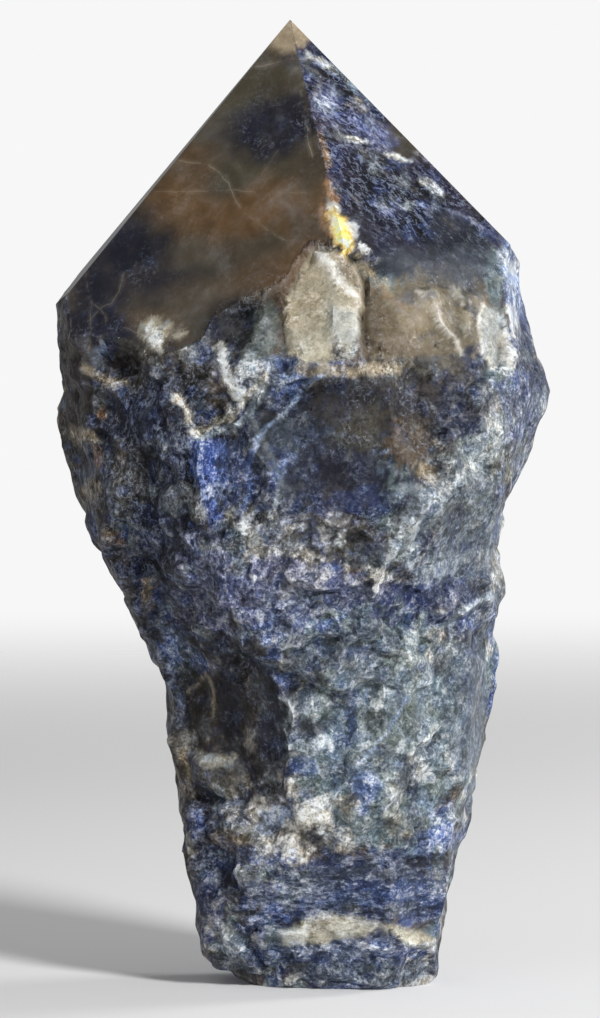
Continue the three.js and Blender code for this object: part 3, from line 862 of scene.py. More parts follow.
def tilted_breaks(points, size, slope, step, soft, seed):
    """The height of a surface broken into tilted planes about size across."""
    scaled = points / size
    home = np.floor(scaled).astype(np.int64)
    gaps, heights = [], []
    for offset in itertools.product((-1, 0, 1), repeat=3):
        cell = home + np.array(offset)
        jitter = np.stack([scrambled(cell, seed + 100 + axis) for axis in range(3)], axis=1)
        tilt = np.stack([scrambled(cell, seed + 200 + axis) for axis in range(3)], axis=1) - 0.5
        away = (scaled - cell - jitter) * size
        gaps.append(np.linalg.norm(away, axis=1))
        lean = 2 * slope * np.einsum("ij,ij->i", away, tilt)
        heights.append(lean + step * (scrambled(cell, seed + 300) - 0.5))
    gaps = np.array(gaps)
    weights = np.exp((gaps.min(axis=0) - gaps) / soft)
    return (weights * np.array(heights)).sum(axis=0) / weights.sum(axis=0)


# ---- The skin of the stone ----


def unit(vectors):
    return vectors / np.linalg.norm(vectors, axis=1)[:, None]


def summed(where, vectors, count):
    """The sum of the vectors that share each number in where."""
    return np.stack([np.bincount(where, column, count) for column in vectors.T], axis=1)


class Skin:
    """A mesh of quads as arrays in millimetres, with what lies next to what."""

    def __init__(self, mesh):
        self.mesh = mesh
        self.points = self.read(mesh.vertices, "co", 3) / MM
        self.edges = self.read(mesh.edges, "vertices", 2).astype(np.int64)
        self.joins = np.bincount(self.edges.ravel(), minlength=len(self.points))
        self.quads = self.read(mesh.loops, "vertex_index", 1).astype(np.int64).reshape(-1, 4)
        edge_of = self.read(mesh.loops, "edge_index", 1).ravel()
        order = np.argsort(edge_of, kind="stable")
        shared = np.flatnonzero(np.diff(edge_of[order]) == 0)
        self.neighbours = order[shared] // 4, order[shared + 1] // 4

    @staticmethod
    def read(items, field, width):
        values = np.empty(len(items) * width)
        items.foreach_get(field, values)
        return values.reshape(-1, width)

    def write(self):
        self.mesh.vertices.foreach_set("co", (self.points * MM).ravel())
        self.mesh.update()

    def normals(self):
        self.write()
        return self.read(self.mesh.vertex_normals, "vector", 3)

    def spread(self, values, rounds):
        """The values averaged with their neighbours' again and again."""
        start, end = self.edges.T
        for _ in range(rounds):
            columns = values.reshape(len(values), -1)
            sums = [
                np.bincount(start, column[end], len(column))
                + np.bincount(end, column[start], len(column))
                for column in columns.T
            ]
            around = (np.stack(sums, axis=1) / self.joins[:, None]).reshape(values.shape)
            values = (values + around) / 2
        return values

    def chisel(self, turns, moves):
        """Turns rounded lumps into flat faces with crisp edges between them."""
        corners = self.points[self.quads]
        facing = unit(np.cross(corners[:, 2] - corners[:, 0], corners[:, 3] - corners[:, 1]))
        one, two = self.neighbours
        for _ in range(turns):
            apart = ((facing[one] - facing[two]) ** 2).sum(axis=1)
            alike = np.exp(-apart / (2 * CHISEL_ALIKE**2))[:, None]
            around = summed(one, alike * facing[two], len(facing))
            facing = unit(facing + around + summed(two, alike * facing[one], len(facing)))
        shares = np.bincount(self.quads.ravel(), minlength=len(self.points))[:, None]
        for _ in range(moves):
            middles = self.points[self.quads].mean(axis=1)
            step = np.zeros_like(self.points)
            for corner in self.quads.T:
                off = np.einsum("ij,ij->i", facing, middles - self.points[corner])
                step += summed(corner, facing * off[:, None], len(self.points))
            self.points = self.points + step / shares


def with_modifier(mesh, kind, **settings):
    """A copy of the mesh with one modifier applied."""
    carrier = bpy.data.objects.new("carrier", mesh)
    bpy.context.collection.objects.link(carrier)
    modifier = carrier.modifiers.new(kind, kind)
    for setting, value in settings.items():
        setattr(modifier, setting, value)
    evaluated = carrier.evaluated_get(bpy.context.evaluated_depsgraph_get())
    changed = bpy.data.meshes.new_from_object(evaluated)
    bpy.data.objects.remove(carrier)
    return changed


def tapered(mesh, front, back, undo=False):
    """Widens the mesh towards the front and narrows it towards the back, or undoes that."""
    points = Skin.read(mesh.vertices, "co", 3)
    near, far = CAD_BOX[0][1], CAD_BOX[1][1]
    scale = front + (back - front) * (points[:, 1:2] - near) / (far - near)
    points[:, ::2] *= 1 / scale if undo else scale
    mesh.vertices.foreach_set("co", points.ravel())


def remeshed(node):
    """A copy of a CAD node's surface in even quads, finer towards the front."""
    mesh = with_modifier(
        frame["nodes"][node].data.copy(), "SUBSURF", subdivision_type="SIMPLE", levels=TAPER_CUTS
    )
    tapered(mesh, *TAPER)
    mesh = with_modifier(mesh, "REMESH", mode="VOXEL", voxel_size=VOXEL * MM)
    tapered(mesh, *TAPER, undo=True)
    return mesh


def facets_of(node):
    """(the tip, the outward normals of the facets that meet there) of a CAD node."""
    mesh = frame["nodes"][node].data
    corners = Skin.read(mesh.vertices, "co", 3) / MM
    tip = corners[corners[:, 2].argmax()]
    at_tip = np.linalg.norm(corners - tip, axis=1) < AT_TIP
    normals = []
    for face in sorted(mesh.polygons, key=lambda face: -face.area):
        normal = np.array(face.normal)
        is_new = all(normal @ other < SAME_FACET for other in normals)
        if is_new and at_tip[list(face.vertices)].any():
            normals.append(normal)
    return tip, np.array(normals)


def within(x, z, outline):
    """How far each place is inside an outline that has no hollows."""
    corners = np.array(outline, float)
    sides = np.roll(corners, -1, axis=0) - corners
    inward = unit(np.stack([-sides[:, 1], sides[:, 0]], axis=1))
    gaps = [(x - cx) * ix + (z - cz) * iz for (cx, cz), (ix, iz) in zip(corners, inward)]
    return np.min(gaps, axis=0)


def beside(x, z, line):
    """How far each place is from a line of straight stretches."""
    gaps = []
    for (ax, az), (bx, bz) in zip(line, line[1:]):
        share = ((x - ax) * (bx - ax) + (z - az) * (bz - az)) / ((bx - ax) ** 2 + (bz - az) ** 2)
        share = np.clip(share, 0, 1)
        gaps.append(np.hypot(x - ax - share * (bx - ax), z - az - share * (bz - az)))
    return np.min(gaps, axis=0)


def seen(points):
    """The (x, z) at which each vertex is seen from the front: what is near looks larger and lower."""
    x, y, z = (points - np.array(VIEW_MIDDLE) / MM).T
    rise = math.radians(VIEW_RISE)
    distance = VIEW_DISTANCE / MM
    larger = distance / (distance + y * math.cos(rise) - z * math.sin(rise))
    x = x * larger
    z = (z * math.cos(rise) + y * math.sin(rise)) * larger
    return x + VIEW_MIDDLE.x / MM, z + VIEW_MIDDLE.z / MM


def on_front(points):
    """Where each vertex is seen, moved about so that what is laid out there has uneven edges."""
    for sway in FRONT_SWAYS:
        points = wander(points, *sway)
    return seen(points)


def relief(points, facing, outward):
    """(how far the large breaks stand out or in, how much of the flakes shows on them)"""
    bent = wander(points, *BREAK_SWAY)
    calm = OUTLINE_CALM + (1 - OUTLINE_CALM) * smooth(*OUTLINE_TURN, np.abs(outward[:, 1]))
    height = calm * sum(tilted_breaks(bent, **kind) for kind in BREAKS)
    heights, outs = np.transpose(LEFT_SWELL)
    height += smooth(*FACING_LEFT, -outward[:, 0]) * np.interp(points[:, 2], heights, outs)
    flaky = calm
    x, z = on_front(points)
    for outline, out, across, upwards, kept, width in FACES.values():
        middle_x, middle_z = np.mean(outline, axis=0)
        plane = out + across * (x - middle_x) + upwards * (z - middle_z)
        inside = facing * smooth(-width / 2, width / 2, within(x, z, outline))
        height = height + inside * (plane - (1 - kept) * height)
        flaky = flaky * (1 - inside * (1 - kept))
    for rise, half_width, line in CRESTS:
        height += rise * facing * (1 - smooth(0, half_width, beside(x, z, line)))
    return height, flaky


def flaked(points):
    """How far the small flakes stand out or in."""
    bent = wander(points, *FLAKE_SWAY)
    high, *grit = GRIT
    return sum(tilted_breaks(bent, **kind) for kind in FLAKES) + high * layered(points, *grit, layers=3)


def broken_off(points, facing):
    """1 where the front is broken away under the foot of the polish and 0 above, and how deep."""
    line_x, line_z, line_depth = np.transpose(POLISH_FOOT)
    reach, *jag = POLISH_JAG
    foot = np.interp(points[:, 0], line_x, line_z) + reach * layered(points, *jag, layers=3)
    depth = np.interp(points[:, 0], line_x, line_depth)
    narrow, wide = POLISH_STEP
    half_width = narrow + (wide - narrow) * smooth(*MELT_FROM, points[:, 0])
    return facing * smooth(-1, 1, (foot - points[:, 2]) / half_width), depth


def grind(points, tip, normals):
    """The points cut back to the facets and to the base, and how much each lost."""
    lost = np.zeros(len(points))
    for _ in range(GRIND_ROUNDS):
        for normal in normals:
            over = np.maximum((points - tip) @ normal, 0)
            points = points - over[:, None] * normal
            lost += over
    below = np.maximum(-points[:, 2], 0)
    points[:, 2] += below
    return points, lost


def crisp_ridges(skin, tip, normals, polish):
    """Moves the vertices beside each ridge onto it, so that the facets meet in a clean line, and
    tells which vertices are on a ridge."""

    def onto_ridge(vertex, along):
        """(how far the vertex is from the ridge, its place on the ridge)"""
        offset = skin.points[vertex] - tip
        place = tip + (offset @ along) * along
        return np.linalg.norm(place - skin.points[vertex]), place

    on_ridge = np.zeros(len(skin.points), bool)
    depths = (skin.points - tip) @ normals.T
    facet = np.where(polish > 0.5, depths.argmax(axis=1), -1)
    start, end = skin.edges.T
    across = (facet[start] != facet[end]) & (facet[start] >= 0) & (facet[end] >= 0)
    for edge in skin.edges[across]:
        along = np.cross(*normals[facet[edge]])
        along /= np.linalg.norm(along)
        nearest = min(edge, key=lambda vertex: onto_ridge(vertex, along)[0])
        gap, place = onto_ridge(nearest, along)
        if gap < RIDGE_REACH:
            skin.points[nearest] = place
            on_ridge[nearest] = True
    return on_ridge


def split_on_ridges(mesh, on_ridge):
    """Splits each quad that a ridge crosses from corner to corner, so that no face spans two facets."""
    editable = bmesh.new()
    editable.from_mesh(mesh)
    for face in list(editable.faces):
        corners = list(face.verts)
        for one, two in zip(corners, corners[2:]):
            if on_ridge[one.index] and on_ridge[two.index]:
                bmesh.utils.face_split(face, one, two)
                break
    editable.to_mesh(mesh)
    editable.free()


def blot(x, z, middle_x, middle_z, half_x, half_z, turn):
    """How far out each place is from the middle of an ellipse, whose edge is at 1."""
    angle = math.radians(turn)
    dx, dz = x - middle_x, z - middle_z
    along = (dx * math.cos(angle) + dz * math.sin(angle)) / half_x
    across = (dz * math.cos(angle) - dx * math.sin(angle)) / half_z
    return np.hypot(along, across)


class Paint:
    """Colours laid over each other, vertex by vertex."""

    def __init__(self, points, facing, cloudy):
        self.points = points
        self.facing = facing
        self.cloudy = cloudy
        self.tint = np.tile(COLOURS["slate"], (len(points), 1))
        self.x, self.z = on_front(points)
        self.rag = []
        self.cloud_rag = []
        self.full = []
        for seed in WAY_SEEDS:
            self.rag.append(layered(points, seed=seed, **ROUGH_RAG))
            self.cloud_rag.append(layered(points, seed=seed, **SOFT_RAG))
            self.full.append(smooth(*GAP_RANGE, layered(points, seed=seed + GAP_SEED, **GAPS)))

    def lay(self, colour, strength):
        share = np.clip(strength, 0, 1)[:, None]
        self.tint = self.tint * (1 - share) + COLOURS[colour] * share

    def cloud(self, size, seed, start, end):
        """A share that comes and goes all through the stone."""
        return smooth(start, end, layered(self.points, size, seed))

    def sheet(self, size, seed, half_width):
        """A share that is 1 along thin bent sheets all through the stone."""
        return 1 - smooth(0, half_width, np.abs(layered(self.points, size, seed)))

    def patchy(self, number, cloudy=0):
        """1 where a colour is full and less in its gaps, in one of several ways."""
        gaps = BLOT_GAPS + (CLOUD_GAPS - BLOT_GAPS) * cloudy
        return 1 - (1 - self.full[number % len(self.full)]) * gaps

    def inside(self, number, place, cloudy=1):
        """The share of a blot on the front, ragged and patchy in one of several ways."""
        way = number % len(self.rag)
        cloudy = cloudy * self.cloudy
        rough = BLOT_RAG * self.rag[way]
        rag = rough + (CLOUD_RAG * self.cloud_rag[way] - rough) * cloudy
        edge_out, edge_in = (
            blot_edge + (cloud_edge - blot_edge) * cloudy
            for blot_edge, cloud_edge in zip(BLOT_EDGE, CLOUD_EDGE)
        )
        out = blot(self.x, self.z, *place) + rag
        return self.facing * smooth(edge_out, edge_in, out) * self.patchy(way, cloudy)

    def plate(self, outline):
        """The share of a plate on the front."""
        depth = within(self.x, self.z, outline) + PLATE_RAG * self.rag[0]
        return self.facing * smooth(-PLATE_EDGE, PLATE_EDGE, depth)

    def vein(self, number, half_width, line):
        """The share of a line on the front."""
        way = number % len(self.rag)
        off = beside(self.x, self.z, line) + VEIN_RAG * half_width * self.rag[way]
        return self.facing * self.patchy(way) * (1 - smooth(VEIN_CORE * half_width, half_width, off))


def left_edge(points):
    """Where the weathered brown, darkened as painted shade, begins on the left, at each vertex's height.
    """
    heights, places = np.transpose(LEFT_EDGE)
    return np.interp(points[:, 2], heights, places)


def painted(points, facing, polish, across):
    """The stone's colour, with some painted shade and highlight in it, and how grainy it is, vertex by
    vertex.
    """
    right = polish * smooth(*RIGHT_FROM, across)
    left = polish - right
    paint = Paint(points, facing, left + RIGHT_FACET_CLOUDY * right)
    allowed = {"left facet": 1 - right, "right facet": 1 - left}
    for colour, strength, *cloud in CLOUDS:
        paint.lay(colour, strength * paint.cloud(*cloud))
    for colour, strength, *sheet in SHEETS:
        paint.lay(colour, strength * paint.sheet(*sheet))
    colour, strength, *cloud = SMOKE
    paint.lay(colour, strength * polish * paint.cloud(*cloud))
    # Rust-brown weathering on the left, darkened as painted shade on the side turned from the light.
    weathered_and_shaded = smooth(*LEFT_FADE, left_edge(points) - paint.x + LEFT_RAG * paint.rag[0])
    for colour, strength, *cloud in LEFT_STAINS_AND_SHADE:
        paint.lay(colour, strength * weathered_and_shaded * (1 - polish) * paint.cloud(*cloud))
    for part, rows in FRONT.items():
        for number, (colour, *place, strength) in enumerate(rows):
            share = paint.inside(number, place, PART_CLOUDY.get(part, 1)) * allowed.get(part, 1)
            paint.lay(colour, strength * share)
    for colour, strength, outline in PLATES:
        paint.lay(colour, strength * (1 - polish) * paint.plate(outline))

    grains = GRAINS_ROUGH + (GRAINS_POLISHED - GRAINS_ROUGH) * polish
    for part, rows in GRAINS.items():
        for number, (value, *place) in enumerate(rows):
            share = paint.inside(number, place) * allowed.get(part, 1)
            grains = grains + (value - grains) * share
    for colour, strength, *cloud in MOTTLES:
        paint.lay(colour, strength * np.minimum(grains, 1) ** 2 * paint.cloud(*cloud))
    for number, (colour, strength, *vein) in enumerate(VEINS):
        paint.lay(colour, strength * paint.vein(number, *vein))
    return paint.tint, grains


def how_it_lies(points, facing):
    """For each vertex, whether the grain lies flat, falls to the right or stands."""
    reach, *rag = LIE_RAG
    ragged = reach * layered(points, *rag, layers=3)
    outs = [blot(*seen(points), *place) + ragged for place in (BANDED, SLANTED, UPRIGHT)]
    return np.stack([facing * smooth(*LIE_EDGE, out) for out in outs], axis=1)


def rimmed(points, facing):
    """How far the stone is a heap of pale-rimmed crystals, vertex by vertex; the rims are partly painted
    highlight.
    """
    reach, *rag = RIMMED_RAG
    out = blot(*seen(points), *RIMMED) + reach * layered(points, *rag, layers=3)
    return facing * smooth(*RIMMED_EDGE, out)


def signed_beside(x, z, line):
    """(how far each place is to the left of a line, or to its right below zero; how far it is from
    the line's nearest point)"""
    nearest = np.full(len(x), np.inf)
    signed = np.full(len(x), CRACK_FAR)
    for (ax, az), (bx, bz) in zip(line, line[1:]):
        length = math.hypot(bx - ax, bz - az)
        along = ((x - ax) * (bx - ax) + (z - az) * (bz - az)) / length
        across = ((z - az) * (bx - ax) - (x - ax) * (bz - az)) / length
        reach = np.hypot(across, np.maximum(0, np.maximum(-along, along - length)))
        closer = reach < nearest
        nearest = np.where(closer, reach, nearest)
        signed = np.where(closer, across, signed)
    return signed, nearest


def cracks(points, facing):
    """For three sets of thin cracks, one holding the painted highlight along the ridge, how far each
    vertex is from one, and how strong that one is.
    """
    x, z = seen(wander(points, *CRACK_SWAY))
    far = np.full((len(points), 3), CRACK_FAR)
    strong = np.zeros((len(points), 3))
    for group, strength, line in CRACKS_AND_GLINT:
        signed, reach = signed_beside(x, z, line)
        near = (reach < CRACK_REACH) & (facing > 0)
        far[near, group] = signed[near]
        strong[near, group] = (strength * facing * (1 - smooth(CRACK_CORE, CRACK_REACH, reach)))[near]
    return far, strong


def add_values(mesh, name, values):
    """Stores a number, or a colour, for each vertex."""
    if values.ndim == 1:
        layer = mesh.attributes.new(name, "FLOAT", "POINT")
        layer.data.foreach_set("value", values.astype(np.float32))
    else:
        layer = mesh.attributes.new(name, "FLOAT_COLOR", "POINT")
        full = np.concatenate([values, np.ones((len(values), 1))], axis=1)
        layer.data.foreach_set("color", full.astype(np.float32).ravel())


def shape(skin, tip, normals):
    """Breaks the skin up and grinds its facets. Gives for each vertex how squarely it faces the
    front, how polished it is and whether it is on a ridge."""
    depth = np.abs(((skin.points - tip) @ normals.T).max(axis=1))
    ground = (depth < FACET_SKIN) | (skin.points[:, 2] < FACET_SKIN)
    rough = skin.spread(1.0 - ground, FACET_FADE)

    softened = skin.spread(skin.points, SOFTEN)
    skin.points = skin.points + (softened - skin.points) * rough[:, None]
    outward = unit(skin.spread(skin.normals(), NORMAL_ROUNDS))
    facing = smooth(*FACING_FRONT, -outward[:, 1])

    broken, deep = broken_off(skin.points, facing)
    broken = skin.spread(broken * (1 - rough), POLISH_SMOOTH)
    rough = np.minimum(rough + broken, 1)
    height, flaky = relief(skin.points, facing, outward)
    push = rough * height + (1 - rough) * FACET_SWELL - broken * deep
    skin.points = skin.points + outward * push[:, None]
    skin.chisel(*CHISEL_BREAKS)
    push = rough * flaky * flaked(skin.points)
    skin.points = skin.points + outward * push[:, None]
    skin.chisel(*CHISEL_FLAKES)
    skin.points, lost = grind(skin.points, tip, normals)
    polish = smooth(0, POLISH_EDGE, lost)
    on_ridge = crisp_ridges(skin, tip, normals, polish)
    polish = smooth(*POLISH_KEPT, skin.spread(polish, 1))
    melting = facing * smooth(*MELT_FROM, skin.points[:, 0])
    polish = polish + (skin.spread(polish, MELT_ROUNDS) - polish) * melting
    return facing, polish, on_ridge


def hollowed(skin, normal):
    """How deep each vertex lies in a hollow, below zero where it stands out: the measure behind the
    painted shade in hollows and the painted highlight on edges.
    """
    hollow = np.zeros(len(skin.points))
    for rounds, share in HOLLOWS:
        away = skin.spread(skin.points, rounds) - skin.points
        hollow += share * np.einsum("ij,ij->i", away, normal)
    return hollow


def stone_mesh():
    """The stone's skin, shaped and with its colours stored on it."""
    skin = Skin(remeshed("stone"))
    facing, polish, on_ridge = shape(skin, *facets_of("stone"))
    normal = skin.normals()
    tint, grains = painted(skin.points, facing, polish, normal[:, 0])
    crack_away, crack_strength = cracks(skin.points, facing)
    for name, values in {
        "tint": tint,
        "grains": grains,
        "polish": polish,
        # hollow carries the painted shade in hollows and the painted highlight on edges.
        "hollow": hollowed(skin, normal) * (1 - polish),
        "lie": how_it_lies(skin.points, facing),
        "rimmed": rimmed(skin.points, facing),
        "crack_away": crack_away,
        "crack_strength": crack_strength,
    }.items():
        add_values(skin.mesh, name, values)
    skin.write()
    split_on_ridges(skin.mesh, on_ridge)
    skin.mesh.shade_smooth()
    skin.mesh.set_sharp_from_angle(angle=SHARP_FROM)
    return skin.mesh


# ---- The stone's finish ----

# The noises behind the grain.
NOISES = {
    "clouds": {"size": 2.4, "detail": 7, "roughness": 0.68},
    "patches": {"size": 4.5, "detail": 2, "roughness": 0.5},
    "specks": {"size": 0.7, "detail": 3, "roughness": 0.75},
    "dust": {"size": 0.36, "detail": 1, "roughness": 0.5},
    "haze": {"size": 7.0, "detail": 3, "roughness": 0.6, "distortion": 0.6},
    "crack's sway": {"size": 1.6, "detail": 4},
    "crack's gaps": {"size": 3.4, "detail": 3},
}
LARGE_CRYSTAL = 2.2
SMALL_CRYSTAL = 0.65
CRYSTAL_SWAY = (1.3, 3, 1.1)  # how their edges wander: how large, in how many layers, how far
RIMMED_CRYSTAL = 3.6
RIM_WIDTH = 0.13  # how far in its pale rim reaches, as a share of its size
SEAMS = ((1.9, 0.11), (0.9, 0.08))  # the web of white seams: how far apart and half how wide
# Seams and frost show where both the patches and the specks are this high, from none to all.
SEAM_PATCHES = (0.46, 0.6)
SEAM_SPECKS = (0.42, 0.56)
FROST_PATCHES = (0.42, 0.6)
FROST_SPECKS = (0.58, 0.64)
# The right facet and the dark side are laced: they have more seams, and dark holes in the grain.
LACED_SEAMS = 0.1  # how much lower the patches may be for a seam there
HOLES = (0.22, 0.16)  # which of the small crystals are holes there

# How much brighter the stone is at the top of each part of the grain than at its bottom.
CLOUD_LIGHT = 2.8
SPECK_LIGHT = 2.4
DUST_LIGHT = 1.8
LARGE_LIGHT = 0.7
SMALL_LIGHT = 0.8
RIM_LIGHT = 0.3
RIM_MIDDLE = 0.35  # a rim lightens where it is stronger than this and darkens where it is weaker
LACE_LIGHT = -0.15
HOLE_LIGHT = -0.7
HAZE_LIGHT = 1.6
# Painted shade in hollows and painted highlight on edges that stand out.
HOLLOW_SHADE = 0.8  # how much a hollow of one millimetre darkens, and an edge lightens
CONTRAST = 1.6  # how many times light doubles when all that adds up to 1
PALENESS = 0.65  # how much of their colour the brightest grains lose
PALE_FROM = (-0.2, 0.8)  # how bright a grain is that begins to lose it, and one that has
BRIGHTEST = (0.68, 0.7, 0.7)  # no grain is brighter than this
WARM_GRAIN = (1.12, 1.03, 0.9, 1)  # what the warmest grains do to the colour
COOL_GRAIN = (0.89, 0.97, 1.12, 1)  # what the coolest grains do to it
FROST = (0.16, 0.19, 0.25)  # the least that a frosty seam or speck shows
FROST_TINT = 1.6  # how many times the stone's own colour it shows as well
FROST_SEEN = (0.55, 0.08)  # how much of it shows, and how much more on laced stone

CRACK_COLOUR = (0.5, 0.44, 0.34, 1)
CRACK_MIX = 0.45  # how much of that colour a crack has; the rest is the stone's
CRACK_BEND = 0.7  # how far a crack sways
CRACK_GAPS = (0.36, 0.6)  # from where to where in its noise a gap closes
CRACK_HALO = (5, 0.3)  # how many times as wide a crack's faint edge is, and how strong

LARGE_TIP = 0.4  # how far the large crystals are tipped each their own way
SMALL_TIP = 0.6
SPECK_HEIGHT = 0.35  # how high the specks are beside the clouds
BUMP_HEIGHT = 0.55
SMOOTHEST = 0.2  # how rough broken stone is where no grain shows
ROUGH_SPREAD = (0.34, 0.35)  # how matt broken stone is at least, and how much more from grain to grain
POLISHED_SPREAD = (0.1, 0.12)  # the same for polished stone
IOR = 1.48
ROUGH_GLOSS = 0.28  # how much rough stone mirrors
POLISHED_GLOSS = 0.5


class Finish:
    """A material whose nodes are added one call at a time."""

    def __init__(self, name):
        self.material = bpy.data.materials.new(name)
        self.material.use_nodes = True
        self.tree = self.material.node_tree
        self.tree.nodes.clear()

    def node(self, kind, inputs=(), **settings):
        made = self.tree.nodes.new("ShaderNode" + kind)
        for setting, value in settings.items():
            setattr(made, setting, value)
        for socket, value in dict(inputs).items():
            if isinstance(value, bpy.types.NodeSocket):
                self.tree.links.new(value, made.inputs[socket])
            else:
                made.inputs[socket].default_value = value
        return made

    def surface(self, shader):
        """The shader that the surface takes."""
        self.node("OutputMaterial", {"Surface": shader.outputs[0]})

    def value(self, name):
        return self.node("Attribute", attribute_name=name).outputs["Fac"]

    def colour(self, name):
        return self.node("Attribute", attribute_name=name).outputs["Color"]

    def maths(self, operation, *values, clamp=False):
        inputs = dict(enumerate(values))
        return self.node("Math", inputs, operation=operation, use_clamp=clamp).outputs[0]

    def times(self, one, two):
        return self.maths("MULTIPLY", one, two)

    def swung(self, value, amount):
        """A value from 0 to 1 as one that swings about zero."""
        return self.times(self.maths("SUBTRACT", value, 0.5), amount)

    def mix(self, share, one, two):
        """Two colours mixed: share 0 gives the first and 1 the second."""
        return self.node("Mix", {0: share, 6: one, 7: two}, data_type="RGBA").outputs[2]

    def ramp(self, value, start, end):
        inputs = {"Value": value, "From Min": start, "From Max": end}
        made = self.node("MapRange", inputs, interpolation_type="SMOOTHSTEP", clamp=True)
        return made.outputs[0]

    def noise(self, where, size, detail=4, roughness=0.6, distortion=0.0):
        inputs = {
            "Vector": where, "Scale": 1 / size, "Detail": detail,
            "Roughness": roughness, "Distortion": distortion,
        }
        return self.node("TexNoise", inputs).outputs["Fac"]

    def edges(self, where, size):
        """How far in from the edge of its cell each place is, as a share of the cell's size."""
        inputs = {"Vector": where, "Scale": 1 / size}
        return self.node("TexVoronoi", inputs, feature="DISTANCE_TO_EDGE").outputs["Distance"]

    def web(self, where, size, half_width):
        """1 along the thin seams between many small cells."""
        return self.ramp(self.edges(where, size), half_width / size, 0.0)

    def cells(self, where, size):
        """A random colour for each of many small cells."""
        return self.node("TexVoronoi", {"Vector": where, "Scale": 1 / size}).outputs["Color"]

    def vectors(self, operation, one, two):
        return self.node("VectorMath", {0: one, 1: two}, operation=operation).outputs[0]

    def direction(self, colour):
        """A colour's channels as a direction that swings about zero."""
        return self.vectors("SUBTRACT", colour, (0.5, 0.5, 0.5))

    def scaled(self, vector, amount):
        made = self.node("VectorMath", {0: vector, "Scale": amount}, operation="SCALE")
        return made.outputs[0]

    def split(self, colour):
        """The three channels of a colour."""
        return list(self.node("SeparateColor", {0: colour}).outputs)

    def total(self, *values):
        running = values[0]
        for value in values[1:]:
            running = self.maths("ADD", running, value)
        return running

    def blend(self, share, one, two):
        """Two numbers mixed: share 0 gives the first and 1 the second."""
        return self.node("Mix", {0: share, 2: one, 3: two}).outputs[0]


class Grain:
    """The grain of the stone at each place: clouds, threads, crystals and specks."""

    def __init__(self, nodes):
        place = nodes.node("TexCoord").outputs["Object"]
        place = nodes.vectors("MULTIPLY", place, (1 / MM, 1 / MM, 1 / MM))
        laid = place
        lies = nodes.split(nodes.colour("lie"))
        for share, (turn, stretch) in zip(lies, LIES):
            stretched = nodes.node("Mapping", {
                "Vector": place, "Rotation": (0, math.radians(turn), 0), "Scale": stretch,
            }, vector_type="TEXTURE").outputs[0]
            laid = nodes.mix(nodes.maths("GREATER_THAN", share, 0.5), laid, stretched)
        self.place = place
        self.lace = nodes.maths("MAXIMUM", lies[1], lies[2])
        self.clouds = nodes.noise(laid, **NOISES["clouds"])
        self.patches = nodes.noise(laid, **NOISES["patches"])
        self.specks = nodes.noise(laid, **NOISES["specks"])
        self.dust = nodes.noise(place, **NOISES["dust"])
        self.haze = nodes.noise(place, **NOISES["haze"])

        size, detail, reach = CRYSTAL_SWAY
        bends = nodes.node("TexNoise", {"Vector": laid, "Scale": 1 / size, "Detail": detail})
        sway = nodes.vectors("MULTIPLY", nodes.direction(bends.outputs["Color"]), (reach, reach, reach))
        warped = nodes.vectors("ADD", laid, sway)
        self.large_colour = nodes.cells(warped, LARGE_CRYSTAL)
        self.small_colour = nodes.cells(warped, SMALL_CRYSTAL)
        self.large = nodes.split(self.large_colour)
        self.small = nodes.split(self.small_colour)
        self.rims = nodes.ramp(nodes.edges(warped, RIMMED_CRYSTAL), RIM_WIDTH, 0.0)

        web = nodes.maths("MAXIMUM", *(nodes.web(warped, *seam) for seam in SEAMS))
        patches = nodes.maths("MULTIPLY_ADD", self.lace, LACED_SEAMS, self.patches)
        web = nodes.times(web, nodes.ramp(patches, *SEAM_PATCHES))
        self.web = nodes.times(web, nodes.ramp(self.specks, *SEAM_SPECKS))


